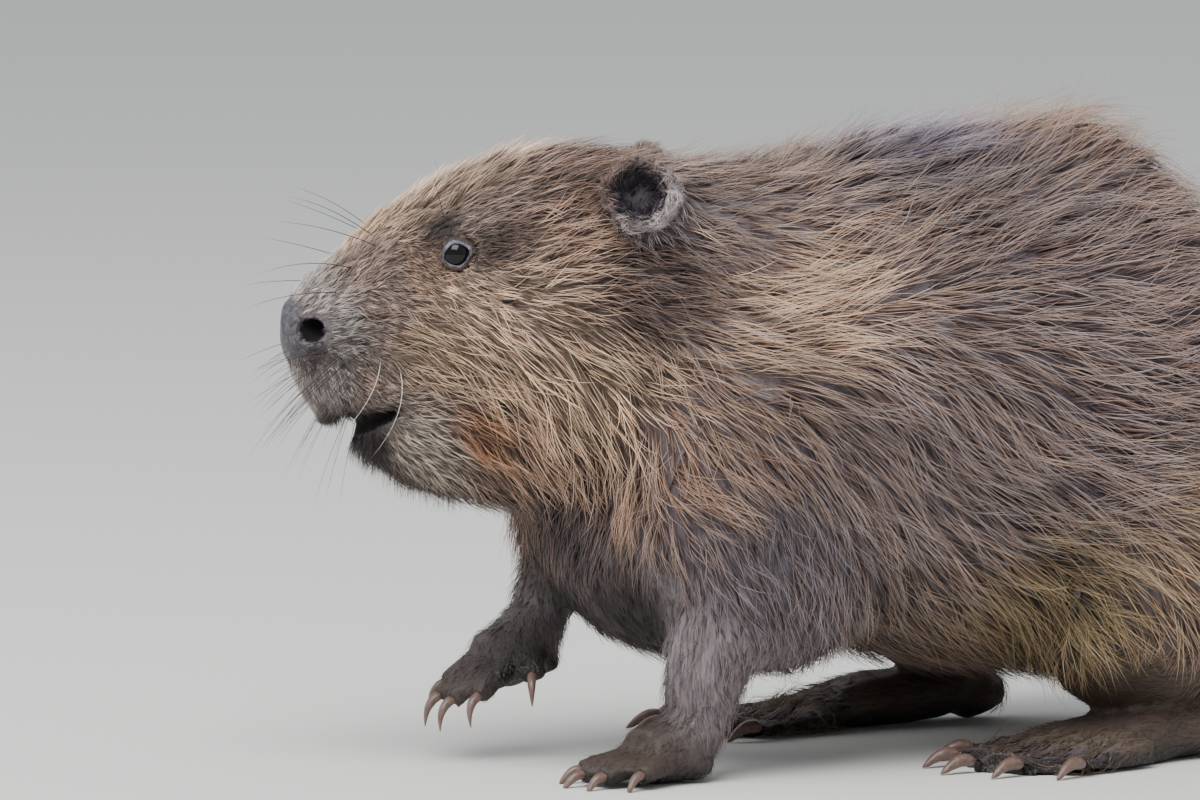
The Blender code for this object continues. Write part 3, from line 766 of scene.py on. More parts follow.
def add_values(item, name, kind, values):
    """Store one value for each vertex."""
    layer = item.data.attributes.new(name, kind, "POINT")
    key = "color" if kind == "FLOAT_COLOR" else "value"
    layer.data.foreach_set(key, np.ascontiguousarray(values, dtype=np.float32).ravel())


def with_alpha(colours):
    """Colours with a fourth value of 1."""
    return np.hstack([colours, np.ones((len(colours), 1))])


def bare_colours(points, fur):
    """Colour of the skin: the base of the fur, changed wherever the skin is bare."""
    local = to_head(points)
    face = local[:, 1] < 0.0
    tint = fur

    def lay(share, code):
        nonlocal tint
        tint = blend(tint, linear(code), share[:, None])

    lay((1 - ramp(nose_reach(local), 0.90, 1.15)) * face, NOSE_GREY)
    for side in SIDES.values():
        lids, _ = lid_space(local, side)
        lay(1 - ramp(lids, 1.28, 1.42), LID_GREY)
        lay(1 - ramp(lids, 0.94, 1.04), LID_DARK)
        nostril, _ = nostril_space(local, side)
        front = face * (local[:, 0] * side > 0.006)
        lay((1 - ramp(nostril, 1.40, 1.85)) * front, NOSE_RIM)
        # Painted shade inside the nostril.
        lay((1 - ramp(nostril, 0.95, 1.25)) * front, HOLLOW_PAINTED_SHADE)
        ear = ear_space(points, side)
        # Painted shade in the hollow of the ear's cup.
        cup = 1 - ramp(np.linalg.norm(ear[:, :2], axis=1), 0.60, 0.85)
        lay(cup * (ear[:, 2] > -0.6) * (np.linalg.norm(ear, axis=1) < 1.6), EAR_CUP_PAINTED_SHADE)
    # Painted shade in the mouth's gap.
    lay((1 - ramp(mouth_distance(local)[0], -0.0005, 0.0012)) * face, HOLLOW_PAINTED_SHADE)
    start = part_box("tail")[0].y
    lay(ramp(points[:, 1], start - 0.010, start + 0.004), TAIL_DARK)
    lay(1 - ramp(points[:, 2], 0.004, 0.010), SOLE_DARK)
    lay(1 - ramp(palm_reach(points), 0.85, 1.25), SOLE_DARK)
    return tint


# Coat

def read_skin():
    """Triangles, areas, corner UVs and middles of the skin, and a tree of its nearest points."""
    item = bpy.data.objects["skin"]
    mesh = item.data
    mesh.calc_loop_triangles()
    count = len(mesh.loop_triangles)
    corners = np.empty(count * 3, np.int32)
    loops = np.empty(count * 3, np.int32)
    areas = np.empty(count)
    mesh.loop_triangles.foreach_get("vertices", corners)
    mesh.loop_triangles.foreach_get("loops", loops)
    mesh.loop_triangles.foreach_get("area", areas)
    uv = np.empty(len(mesh.loops) * 2)
    mesh.uv_layers["OFBake"].uv.foreach_get("vector", uv)
    corners = corners.reshape(-1, 3)
    co = positions(item)
    tree = BVHTree.FromPolygons(co.tolist(), corners.tolist())
    return {"co": co, "normal": normals(item), "corners": corners, "area": areas,
            "uv": uv.reshape(-1, 2)[loops].reshape(-1, 3, 2),
            "middle": co[corners].mean(axis=1)}, tree


def scatter(picks, skin, density):
    """Random roots, with their normals and UVs, at each triangle's density per square metre."""
    chance = skin["area"] * density
    count = int(chance.sum())
    face = picks.choice(len(chance), size=count, p=chance / chance.sum())
    slide = np.sqrt(picks.random(count))
    other = picks.random(count)
    share = np.stack([1 - slide, slide * (1 - other), slide * other], axis=1)[:, :, None]
    corners = skin["corners"][face]
    spots = (skin["co"][corners] * share).sum(axis=1)
    out = unit((skin["normal"][corners] * share).sum(axis=1))
    return spots, out, (skin["uv"][face] * share).sum(axis=1)


def coat_sizes(points):
    """Lie, length, depth, width and colour of the coat: the comb's, but not at ears and lids."""
    lie, sizes, tints = comb(points)
    length, depth, width = sizes.T.copy()
    local = to_head(points)
    for side in SIDES.values():
        ear = ear_space(points, side)
        across = np.linalg.norm(ear[:, :2], axis=1)
        near = 1 - ramp(np.linalg.norm(ear * (1, 1, 0.7), axis=1), 1.12, 1.45)
        inside = near * (1 - ramp(across, 0.70, 0.90)) * (ear[:, 2] > -0.7)
        turn = np.array(ear_turn(side))[:3, :3]
        flare = np.hstack([ear[:, :2] / np.maximum(across, 0.05)[:, None] * 0.6,
                           np.full((len(ear), 1), 0.7)])
        flare = unit(unit(flare) @ turn.T + 0.65 * unit(lie))
        lie = blend(lie, flare, near[:, None])
        length = blend(blend(length, 8.5 * MM, near), 7.5 * MM, inside)
        depth = blend(depth, 2.0 * MM, near)
        width = blend(width, 0.34 * MM, near)
        place = (local - mirrored(EAR_CENTER, side)) / EAR_SIZE
        behind = ramp(place[:, 1] - place[:, 2], -1.2, 1.0)
        tints = blend(tints, linear(EAR_RIM), (near * (0.10 + 0.90 * behind))[:, None])
        # Painted shade: the hair in and round the ear's opening is darkened for the hollow of the
        # cup.
        tints = tints * (1 - 0.45 * near * (1 - ramp(across, 0.70, 1.05)))[:, None]
        tints = tints * (1 + 0.24 * near * ripple(points, 0.0035, 46))[:, None]
        # Hair inside the cup: pale strands over the cup's painted shade.
        strand = np.clip(0.45 + 0.6 * ripple(points, 0.004, 45), 0, 1) * (0.35 + 0.65 * behind)
        deep = blend(linear(EAR_CUP_PAINTED_SHADE), linear(EAR_STRAND), strand[:, None])
        tints = blend(tints, deep, inside[:, None])
        shade = (1 - ramp(np.linalg.norm(ear, axis=1), 1.3, 2.6)) * (1 - near)
        ahead = ramp(-local[:, 1] + EAR_CENTER[1], -0.004, 0.006)
        length *= 1 - 0.60 * shade * ahead
        depth *= 1 - 0.5 * shade * ahead
    # The real dark dashes of the follicles and painted shade in the furrows darken the hair.
    folds = np.maximum(follicle_rows(local), furrow_painted_shade(local))
    tints = tints * (1 - 0.80 * folds)[:, None]
    for side in SIDES.values():
        reach, offset = lid_space(local, side)
        near = (1 - ramp(reach, 1.3, 2.6))[:, None]
        away = np.linalg.norm(lie, axis=1, keepdims=True) * (unit(offset) @ HEAD_TURN.T)
        lie = lie + (away - lie) * 0.75 * near
        length *= 1 - 0.62 * near[:, 0]
        depth *= 1 - 0.70 * near[:, 0]
    # Painted shadow darkens the hair along the mouth's gap.
    tints = tints * (1 - 0.72 * lip_painted_shadow(local))[:, None]
    return lie, length, depth, width, tints


def furrow_painted_shade(local):
    """Painted shade in the folds of the fur that run back from the nostrils, from 0 to 1."""
    share = np.zeros(len(local))
    back = local[:, 1] - NOSTRIL[1]
    wave = 0.0007 * ripple(local[:, 1:2] * (1, 0, 0), 0.008, 52)
    for drop, start, end, deep in FURROWS:
        height = local[:, 2] - NOSTRIL[2] - drop * MM + FURROW_SLOPE * back + wave
        line = bell(height, 0.0014)
        line *= (ramp(back, start * MM - 0.002, start * MM + 0.002)
                 * (1 - ramp(back, end * MM - 0.008, end * MM)))
        share = np.maximum(share, line * min(deep, 1.0))
    broken = (0.65 + 0.35 * ripple(local, 0.006, 53)).clip(0, 1)
    return share * broken * (np.abs(local[:, 0]) > 0.012)


def follicle_rows(local):
    """Dark dashes in rows across the whisker pads, from 0 to 1."""
    rank = (-0.0290 - local[:, 2] + 0.10 * (local[:, 1] + 0.05)) / ROW_GAP
    row = np.round(rank)
    dash = (local[:, 1] + 0.3 * ROW_GAP * row) / (1.25 * ROW_GAP)
    dash = np.abs(dash - np.round(dash))
    share = (1 - ramp(np.abs(rank - row), 0.12, 0.24)) * (1 - ramp(dash, 0.24, 0.40))
    share *= (row >= 0) * (row < 6) * ramp(np.abs(local[:, 0]), 0.012, 0.018)
    share *= ramp(local[:, 1], -0.0560, -0.0500) * (1 - ramp(local[:, 1], -0.0300, -0.0220))
    return share * (1 - 0.13 * np.clip(row, 0, 5))


def walk(tree, roots, lies, lengths, stops):
    """Points and normals along the skin from each root, at shares of its length."""
    spots, way = roots, lies
    tracks, outs = [], []
    last = 0.0
    for stop in stops:
        goals = spots + way * (lengths * (stop - last))[:, None]
        found = [tree.find_nearest(Vector(goal)) for goal in goals]
        hit = np.array([row[0] for row in found])
        out = np.array([row[1] for row in found])
        stray = np.linalg.norm(hit - goals, axis=1) > lengths * 0.5
        hit[stray] = goals[stray]
        spots = hit
        way = level(way, out)
        tracks.append(spots)
        outs.append(out)
        last = stop
    return tracks, outs


# Shares of a hair's length at which it bends, the gap between rows of whiskers, and how far a lock
# cuts across the curve of the skin.
STOPS = (0.38, 0.72, 1.0)
ROW_GAP = 4.3 * MM
LOCK_LEAN = 0.25


def make_locks(skin, tree, seed):
    """Leading hairs, one for each lock, as root and three points."""
    picks = np.random.default_rng(seed)
    length = coat_sizes(skin["middle"])[1]
    lock = 0.7 * MM + 0.17 * length
    density = (1 - np.clip(bare(skin["middle"]), 0, 1)) / lock ** 2
    roots, out, _ = scatter(picks, skin, density)
    lie, length, depth, _, _ = coat_sizes(roots)
    count = len(roots)
    lie = level(lie, out)
    side = np.cross(out, lie)
    turn = (picks.normal(0, 0.20, count) + 0.30 * ripple(roots, 0.05, seed + 1)
            + 0.15 * ripple(roots, 0.018, seed + 2))
    lie = lie * np.cos(turn)[:, None] + side * np.sin(turn)[:, None]
    length = length * picks.uniform(0.78, 1.12, count)
    rise = depth * picks.uniform(0.65, 1.15, count) + 0.04 * length
    rise = np.clip(rise, 0, 0.75 * length)
    reach = np.sqrt(length ** 2 - rise ** 2)
    tracks, outs = walk(tree, roots, lie, reach, STOPS)
    points, over = [roots], [np.zeros_like(roots)]
    for stop, track, away in zip(STOPS, tracks, outs):
        straight = roots + lie * (reach * stop)[:, None]
        height = rise * stop * (2 - stop)
        over.append(unit(away + out * 0.5) * height[:, None])
        points.append(blend(track, straight, LOCK_LEAN) + over[-1])
    return {"root": roots, "points": np.stack(points, axis=1), "over": np.stack(over, axis=1),
            "shade": picks.normal(0, 1, count), "grow": picks.uniform(0.5, 0.8, count),
            "length": length}


def on_head(points):
    """Share of the head's finer coat at some points, from 0 on the body to 1 on the head."""
    share = 1 - ramp(np.linalg.norm(to_head(points) - HEAD_MIDDLE, axis=1), 0.085, 0.125)
    for side in SIDES.values():
        ear = np.linalg.norm(ear_space(points, side), axis=1)
        share = np.maximum(share, 1 - ramp(ear, 1.5, 2.0))
    return share


def hair_density(middles, share, layer):
    """Hairs of one layer on a square metre round some points of the skin."""
    _, length, depth, width, _ = coat_sizes(middles)
    head = on_head(middles)
    density = np.minimum(layer["cover"] / (length * width),
                         layer["most"] / np.maximum(1 - head, 0.01))
    density = density * (layer["flat"] + (1 - layer["flat"]) * ramp(depth, 1.2 * MM, 3.2 * MM))
    local = to_head(middles)
    density = density * (1 - 0.75 * np.maximum(follicle_rows(local), furrow_painted_shade(local)))
    density = density / (1 + layer["coarse"] * head)
    return density * share * (1 - np.clip(bare(middles) * 1.3, 0, 1))


def nearest_locks(locks, roots):
    """Number of the lock that each root is nearest to."""
    tree = KDTree(len(locks["root"]))
    for index, spot in enumerate(locks["root"]):
        tree.insert(spot, index)
    tree.balance()
    return np.array([tree.find(spot)[1] for spot in roots])


def make_hairs(skin, locks, seed, share, layer):
    """Hairs of one layer, each bent to the leading hair of its lock."""
    picks = np.random.default_rng(seed)
    roots, out, uv = scatter(picks, skin, hair_density(skin["middle"], share, layer))
    count = len(roots)
    lead = nearest_locks(locks, roots)
    _, _, _, width, tint = coat_sizes(roots)
    head = on_head(roots)
    tint = tint * (1 + 0.16 * ripple(roots, 0.06, 31) + 0.10 * ripple(roots, 0.02, 32))[:, None]
    warm = np.clip(picks.normal(0.1, 1, (count, 1)), -0.6, 2.0) * (1 - 0.4 * head[:, None])
    tint = tint * (1 + warm * WARMTH)
    start, long = locks["root"][lead], locks["length"][lead]
    reach = layer["reach"] * picks.uniform(0.75, 1.10, count)
    line = (locks["points"][lead] - start[:, None, :]
            - locks["over"][lead] * (1 - layer["height"]))
    side = unit(np.cross(out, line[:, 3]))
    sway = picks.normal(0, 0.08 * layer["wild"], count) * long
    lift = picks.normal(layer["lift"], 0.03 * layer["wild"], count) * long
    stops = np.array((0.0, *STOPS))
    rows = np.arange(count)
    spots = []
    for stop in stops:
        aim = np.minimum(stop * reach, 1.25)
        low = np.clip(np.searchsorted(stops, aim, side="right") - 1, 0, 2)
        part = (aim - stops[low]) / (stops[low + 1] - stops[low])
        here = blend(line[rows, low], line[rows, low + 1], part[:, None])
        pull = (locks["grow"][lead] * layer["hold"] * aim ** 1.4)[:, None]
        bend = side * (sway * stop ** 2)[:, None] + out * (lift * stop ** 1.5)[:, None]
        spots.append(roots + here + (start - roots) * pull + bend)
    spots = np.stack(spots, axis=1)
    spots[:, 0] -= out * (0.4 * MM)
    spots[:, :, 2] = np.maximum(spots[:, :, 2], 0.8 * MM)
    width = width * layer["width"] * picks.uniform(0.7, 1.25, count)
    shade = locks["shade"][lead] * (0.5 + 1.0 * head)
    return {"spots": spots, "out": out, "uv": uv, "width": width * (1 + layer["coarse"] * head),
            "tint": tint, "shade": shade + picks.normal(0, 0.7, count) * (1 + 0.5 * head),
            "tone": np.full(count, layer["tone"])}


# Places along the upper lip, and how many millimetres its fringe hangs there.
LIP_FRINGE = ((-0.060, -0.055, -0.047, -0.0435, -0.041), (2.0, 3.0, 7.0, 7.0, 1.8))


def fringe_hairs(skin, seed):
    """Stiffer dark hairs that hang from the upper lip and from the front of the chin."""
    picks = np.random.default_rng(seed)
    across, back, up = to_head(skin["middle"]).T
    gap, share = mouth_distance(to_head(skin["middle"]))
    line = np.interp(back, *zip(MOUTH_FRONT, MOUTH_CORNER))
    front = (1 - ramp(share, 0.35, 0.85)) * (back < -0.02)
    lip = front * (gap > 0.0004) * (1 - ramp(up - line, 0.0035, 0.0065)) * (up > line)
    chin = front * (gap > 0.0) * (1 - ramp(gap, 0.0070, 0.0140)) * (up <= line)
    below = (back < 0.0) * (up < -0.084) * (up > -0.11) * (np.abs(across) < 0.022)
    roots, out, uv = scatter(picks, skin, 2.2e6 * lip + 1.7e6 * chin + 0.35e6 * below)
    count = len(roots)
    high = to_head(roots)[:, 2] > MOUTH_FRONT[1] - 0.001
    way = np.array((0.0, 0.05, -1.0)) + picks.normal(0, 0.24, (count, 3))
    way = unit(unit(way) @ HEAD_TURN.T + 0.35 * out)
    hang = np.interp(to_head(roots)[:, 1], *LIP_FRINGE)
    length = np.where(high, hang * picks.uniform(0.6, 1.25, count),
                      picks.uniform(4.0, 10.0, count)) * MM
    drop = np.array((0.0, 0.0, -0.25))
    spots = np.stack([roots + (way * stop + drop * stop ** 2) * length[:, None]
                      for stop in (0.0, *STOPS)], axis=1)
    tint = linear(PITCH) * picks.uniform(0.6, 1.8, (count, 1))
    return {"spots": spots, "out": out, "uv": uv,
            "width": picks.uniform(0.13, 0.24, count) * MM, "tint": tint,
            "shade": picks.normal(0, 0.5, count), "tone": np.full(count, 1.0)}


# Each layer: times that its hairs cover the skin, most hairs on a square metre of the body, length
# and width against the comb, height against the coat's depth, paleness along the hair, share of
# hairs kept where the coat is flat, how far hairs gather into a lock, how wild they are, how far
# they lift, and how much wider and fewer they are on the head.
UNDER = {"cover": 1.0, "most": 4.2e4, "reach": 0.62, "width": 2.1, "height": 0.55, "tone": 0.14,
         "flat": 0.12, "hold": 1.0, "wild": 0.6, "lift": 0.0, "coarse": 0.0}
MIDDLE = {"cover": 1.6, "most": 6.2e4, "reach": 0.90, "width": 0.58, "height": 0.80, "tone": 0.50,
          "flat": 1.7, "hold": 0.85, "wild": 0.9, "lift": 0.0, "coarse": 0.5}
GUARD = {"cover": 1.9, "most": 7.8e4, "reach": 1.22, "width": 0.35, "height": 1.0, "tone": 1.8,
         "flat": 1.7, "hold": 0.35, "wild": 2.1, "lift": 0.05, "coarse": 0.9}
STRAY = {"cover": 0.26, "most": 0.6e4, "reach": 1.15, "width": 0.38, "height": 1.0, "tone": 2.0,
         "flat": 0.5, "hold": 0.1, "wild": 3.6, "lift": 0.16, "coarse": 0.3}
LAYERS = (UNDER, MIDDLE, GUARD, STRAY)
HEAD_MIDDLE = (0, 0.005, -0.030)
# What a warmer hair adds to its red, green and blue.
WARMTH = np.array((0.09, -0.01, -0.12))
# Width of a hair at each of its rings, flatness across and out, and the angles of its three edges.
PROFILE = (1.0, 0.9, 0.6)
HAIR_FLAT = (1.15, 0.6)
EDGES = (math.pi / 2, math.pi * 7 / 6, math.pi * 11 / 6)
# Hairs shorter than these have fewer bends, which are chosen from the four points of a hair.
SHORT, FINE = 11.0 * MM, 5.2 * MM
BENDS = {"long": (0, 1, 2, 3), "short": (0, 1, 3), "fine": (0, 3)}
PIECE_TRIANGLES = 186000
BAKE_PATCH = 0.003


def spike_faces(rings):
    """Corners of one hair's triangles: base, bands of sides and a point."""
    faces = [(2, 1, 0)]
    for ring in range(rings - 1):
        for index in range(3):
            low, high = ring * 3 + index, ring * 3 + (index + 1) % 3
            faces += [(low, high, high + 3), (low, high + 3, low + 3)]
    last = rings * 3 - 3
    for index in range(3):
        faces.append((last + index, last + (index + 1) % 3, last + 3))
    return np.array(faces)


def hair_mesh(name, hairs, bends, material):
    """Closed three-sided spikes for a set of hairs as one object."""
    spots, out = hairs["spots"][:, bends], hairs["out"]
    count = len(spots)
    rings = len(bends) - 1
    size = rings * 3 + 1
    along = unit(spots[:, -1] - spots[:, 0])
    side = unit(np.cross(along, out))
    top = np.cross(side, along)
    corners = np.empty((count, size, 3))
    uv = np.empty((count, size, 2))
    for ring in range(rings):
        wide = hairs["width"] * PROFILE[ring] / 2
        for index, angle in enumerate(EDGES):
            offset = (side * (wide * math.cos(angle) * HAIR_FLAT[0])[:, None]
                      + top * (wide * math.sin(angle) * HAIR_FLAT[1])[:, None])
            corners[:, ring * 3 + index] = spots[:, ring] + offset
            patch = np.array((ring / 3 - 0.5, index / 3 - 0.33))
            uv[:, ring * 3 + index] = hairs["uv"] + BAKE_PATCH * patch
    corners[:, -1] = spots[:, -1]
    uv[:, -1] = hairs["uv"] + BAKE_PATCH * np.array((0.5, 0.0))
    starts = (np.arange(count) * size)[:, None, None]
    faces = (spike_faces(rings)[None] + starts).reshape(-1, 3)
    mesh = bpy.data.meshes.new(name)
    mesh.vertices.add(count * size)
    mesh.vertices.foreach_set("co", corners.astype(np.float32).ravel())
    mesh.loops.add(len(faces) * 3)
    mesh.loops.foreach_set("vertex_index", faces.astype(np.int32).ravel())
    mesh.polygons.add(len(faces))
    mesh.polygons.foreach_set("loop_start", np.arange(0, len(faces) * 3, 3, dtype=np.int32))
    mesh.update(calc_edges=True)
    layer = mesh.uv_layers.new(name="OFBake")
    layer.uv.foreach_set("vector", uv.reshape(-1, 2)[faces.ravel()].astype(np.float32).ravel())
    stops = np.array((0.0, *STOPS))[list(bends)]
    item = show(name, mesh, material)
    add_values(item, "along", "FLOAT", np.tile(np.append(np.repeat(stops[:-1], 3), 1.0), count))
    add_values(item, "shade", "FLOAT", np.repeat(hairs["shade"], size))
    add_values(item, "tone", "FLOAT", np.repeat(hairs["tone"], size))
    add_values(item, "marking", "FLOAT_COLOR", with_alpha(np.repeat(hairs["tint"], size, axis=0)))
    return item


def show(name, mesh, material):
    """Object of a finished mesh, shaded smooth."""
    mesh.shade_smooth()
    mesh.materials.append(material)
    item = bpy.data.objects.new(name, mesh)
    bpy.context.scene.collection.objects.link(item)
    return item


def from_corners(name, corners, faces, material):
    """Object of small copies, from the corners of each copy and the faces of one."""
    count, size, _ = corners.shape
    rows = [tuple(corner + start for corner in face)
            for start in range(0, count * size, size) for face in faces]
    mesh = bpy.data.meshes.new(name)
    mesh.from_pydata(corners.reshape(-1, 3).tolist(), [], rows)
    return show(name, mesh, material)


# Whiskers that stand in no row, on the nose, brow, cheek and mouth corner: place and direction in
# the head's frame, length, and tone from dark at 0 to pale at 1.
BRISTLES = (
    ((0.020, -0.040, 0.012), (0.35, -0.75, 0.60), 0.052, 0.0),
    ((0.026, -0.036, 0.006), (0.5, -0.85, 0.42), 0.056, 0.0),
    ((0.024, -0.046, -0.004), (0.5, -0.95, 0.30), 0.050, 0.0),
    ((0.028, -0.050, -0.014), (0.5, -1.0, 0.12), 0.052, 0.0),
    ((0.033, -0.008, 0.018), (0.5, -0.2, 0.9), 0.030, 0.0),
    ((0.030, -0.003, 0.021), (0.3, 0.1, 0.95), 0.024, 0.0),
    ((0.046, 0.012, -0.030), (0.9, 0.3, -0.5), 0.034, 0.0),
    ((0.045, 0.016, -0.034), (0.85, 0.5, -0.5), 0.028, 0.0),
    ((0.034, -0.032, -0.042), (0.42, 0.08, -0.95), 0.040, 1.0),
    ((0.036, -0.025, -0.045), (0.45, 0.36, -0.85), 0.048, 1.0),
)
# Room that the whiskers may take beyond the frame's box.
WHISKER_ROOM = np.array((0.017, 0.031, 0.017))
STRAND_RINGS = 9


def strand_mesh(name, roots, ways, droop, lengths, width, material):
    """Thin tapered four-sided strands that bend by their droop, as one object."""
    side = unit(np.cross(ways, (0.0, 0.0, 1.0)))
    top = np.cross(side, ways)
    corners = np.empty((len(roots), STRAND_RINGS * 4 + 1, 3))
    for ring in range(STRAND_RINGS):
        share = ring / STRAND_RINGS
        center = roots + (ways * share + droop * share ** 2) * lengths[:, None]
        size = width / 2 * (1 - share) ** 0.6
        for index in range(4):
            turn = index * math.pi / 2
            offset = (side * math.cos(turn) + top * math.sin(turn)) * size
            corners[:, ring * 4 + index] = center + offset
    corners[:, -1] = roots + (ways + droop) * lengths[:, None]
    faces = [(3, 2, 1, 0)]
    for ring in range(STRAND_RINGS - 1):
        for index in range(4):
            low, after = ring * 4 + index, ring * 4 + (index + 1) % 4
            faces.append((low, after, after + 4, low + 4))
    last = (STRAND_RINGS - 1) * 4
    faces += [(last + index, last + (index + 1) % 4, STRAND_RINGS * 4) for index in range(4)]
    return from_corners(name, corners, faces, material)


# Materials

def add_node(tree, kind, settings=None, links=None):
    """Add a node with its settings, and link or fill its sockets."""
    node = tree.nodes.new(kind)
    for key, value in (settings or {}).items():
        setattr(node, key, value)
    for key, value in (links or {}).items():
        socket = node.inputs[key]
        if isinstance(value, bpy.types.NodeSocket):
            tree.links.new(value, socket)
        else:
            socket.default_value = value
    return node


def new_material(name, roughness, ior=1.5):
    """Material with the roughness and IOR of the real one."""
    material = bpy.data.materials.new(name)
    material.use_nodes = True
    tree = material.node_tree
    surface = tree.nodes["Principled BSDF"]
    surface.inputs["Roughness"].default_value = roughness
    surface.inputs["IOR"].default_value = ior
    return material, tree, surface


def rgba(code):
    """Linear colour with alpha, for a socket."""
    return (*linear(code), 1.0)


def attribute(tree, name, output="Fac"):
    """Socket of a value stored on the mesh."""
    return add_node(tree, "ShaderNodeAttribute", {"attribute_name": name}).outputs[output]


def object_place(tree):
    """Socket of the Object coordinates, in metres."""
    return add_node(tree, "ShaderNodeTexCoord").outputs["Object"]


def noise(tree, place, scale, detail):
    """Socket of a noise with so many waves in a metre."""
    return add_node(tree, "ShaderNodeTexNoise", None,
                    {"Vector": place, "Scale": scale, "Detail": detail}).outputs["Fac"]


def mixed(tree, share, first, second, **settings):
    """Socket of two colours mixed by a share."""
    return add_node(tree, "ShaderNodeMix", {"data_type": "RGBA", **settings},
                    {0: share, 6: first, 7: second}).outputs[2]


def ranged(tree, value, low, high, new_low=0.0, new_high=1.0, **settings):
    """Socket of a value moved from one range to another."""
    return add_node(tree, "ShaderNodeMapRange", settings,
                    {"Value": value, "From Min": low, "From Max": high,
                     "To Min": new_low, "To Max": new_high}).outputs[0]


def sums(tree, operation, *values):
    """Socket of a sum on up to three values."""
    return add_node(tree, "ShaderNodeMath", {"operation": operation},
                    dict(enumerate(values))).outputs[0]


def paint(tree, surface, colour, value=None):
    """Link a colour, made brighter by a value, to the surface."""
    if value is not None:
        colour = add_node(tree, "ShaderNodeHueSaturation", None,
                          {"Value": value, "Color": colour}).outputs[0]
    tree.links.new(colour, surface.inputs["Base Color"])


def emboss(tree, surface, height, strength, distance, **settings):
    """Link a bump of the given depth in metres to the surface."""
    bump = add_node(tree, "ShaderNodeBump", settings,
                    {"Strength": strength, "Distance": distance, "Height": height})
    tree.links.new(bump.outputs[0], surface.inputs["Normal"])


def guard_hair():
    """Beaver guard hair: keratin, dark at the root and pale at the tip, with a soft shine."""
    material, tree, surface = new_material("beaver_guard_hair", 0.55, 1.55)
    marking = attribute(tree, "marking", "Color")
    root = mixed(tree, 1.0, marking, rgba("#b5a9a8"), blend_type="MULTIPLY")
    deep = mixed(tree, 0.5, root, rgba("#3f353a"))
    rise = sums(tree, "MULTIPLY", attribute(tree, "along"), attribute(tree, "tone"))
    share = ranged(tree, rise, 0.02, 0.55, interpolation_type="SMOOTHSTEP")
    bright = sums(tree, "MULTIPLY_ADD", attribute(tree, "shade"), 0.21, 1.0)
    paint(tree, surface, mixed(tree, share, deep, marking), bright)
    return material


def underfur_skin():
    """Skin under dense grey wool and short flat hair: matt, finely streaked the way the hair lies.

    The streaks are about 1 mm wide, which is coarser than the wool's 0.02 mm fibres, so that
    they show.
    """
    material, tree, surface = new_material("beaver_underfur", 0.65)
    place = object_place(tree)
    streaks = []
    for scale in ((1, 0.14, 1), (1, 1, 0.14)):
        stretch = add_node(tree, "ShaderNodeMapping", None, {"Vector": place, "Scale": scale})
        streaks.append(noise(tree, stretch.outputs[0], 1100.0, 2.0))
    wool = add_node(tree, "ShaderNodeMix", {"data_type": "FLOAT"},
                    {0: attribute(tree, "upright"), 2: streaks[0], 3: streaks[1]}).outputs[0]
    paint(tree, surface, attribute(tree, "marking", "Color"),
          ranged(tree, wool, 0.3, 0.7, 0.55, 1.35))
    emboss(tree, surface, wool, 0.6, 0.0006)
    return material


def nose_leather():
    """Bare nose, lids and pads: thin moist skin in pebbles 1.5 mm wide, with painted light on their
    tops and painted shade in the creases.
    """
    material, tree, surface = new_material("beaver_nose_skin", 0.45, 1.4)
    place = object_place(tree)
    pebble = add_node(tree, "ShaderNodeTexVoronoi", {"feature": "SMOOTH_F1"},
                      {"Vector": place, "Scale": 640.0}).outputs["Distance"]
    patch = ranged(tree, noise(tree, place, 260.0, 5.0), 0.36, 0.64, 0.42, 1.5)
    # Painted light on the pebbles' tops and painted shade in the creases between them.
    crease = ranged(tree, pebble, 0.25, 0.7, 1.15, 0.6)
    paint(tree, surface, attribute(tree, "marking", "Color"),
          sums(tree, "MULTIPLY", patch, crease))
    emboss(tree, surface, pebble, 1.0, 0.0011, invert=True)
    return material


def painted_shade_lining():
    """Inside of the nostrils and the mouth: nearly black, matt painted shade for the shadow in
    these hollows.
    """
    material, _, surface = new_material("beaver_painted_shade_lining", 0.95, 1.34)
    surface.inputs["Base Color"].default_value = rgba("#0e0a0a")
    return material


def horn(name, dark, pale):
    """Claw: horn, streaked in bands about 2 mm wide, with a dull polish."""
    material, tree, surface = new_material(name, 0.38, 1.55)
    streak = noise(tree, object_place(tree), 500.0, 3.0)
    paint(tree, surface, mixed(tree, streak, rgba(dark), rgba(pale)))
    emboss(tree, surface, streak, 0.3, 0.0002)
    return material


def eyeball():
    """Eye: a dark brown iris round a black pupil, under a wet clear cornea."""
    material, tree, surface = new_material("beaver_eye", 0.04, 1.376)
    ring = add_node(tree, "ShaderNodeValToRGB", None, {"Fac": attribute(tree, "pupil")})
    for stop, place, code in zip(ring.color_ramp.elements, (0.30, 0.45), ("#030303", "#0c0a0b")):
        stop.position = place
        stop.color = rgba(code)
    paint(tree, surface, ring.outputs[0])
    return material


def whisker_hair():
    """Whisker: a stiff smooth bristle of keratin, nearly black or, on a few, pale."""
    material, tree, surface = new_material("beaver_whisker", 0.35, 1.55)
    paint(tree, surface, mixed(tree, attribute(tree, "shade"), rgba("#2a2322"), rgba("#d8d0ca")))
    return material


def tail_scale():
    """Tail scales: tough dark horny skin, worn paler on the crown of each scale."""
    material, tree, surface = new_material("beaver_tail_scales", 0.5)
    worn = mixed(tree, attribute(tree, "crown"), rgba("#1c1a1b"), rgba("#4c4542"))
    paint(tree, surface, worn, sums(tree, "MULTIPLY_ADD", attribute(tree, "shade"), 0.2, 1.0))
    emboss(tree, surface, noise(tree, object_place(tree), 700.0, 4.0), 0.4, 0.0003)
    return material


def painted_floor(code):
    """Studio floor: matt paper with almost no tone of its own."""
    material, _, surface = new_material("studio_paper", 0.9)
    surface.inputs["Base Color"].default_value = rgba(code)
    return material


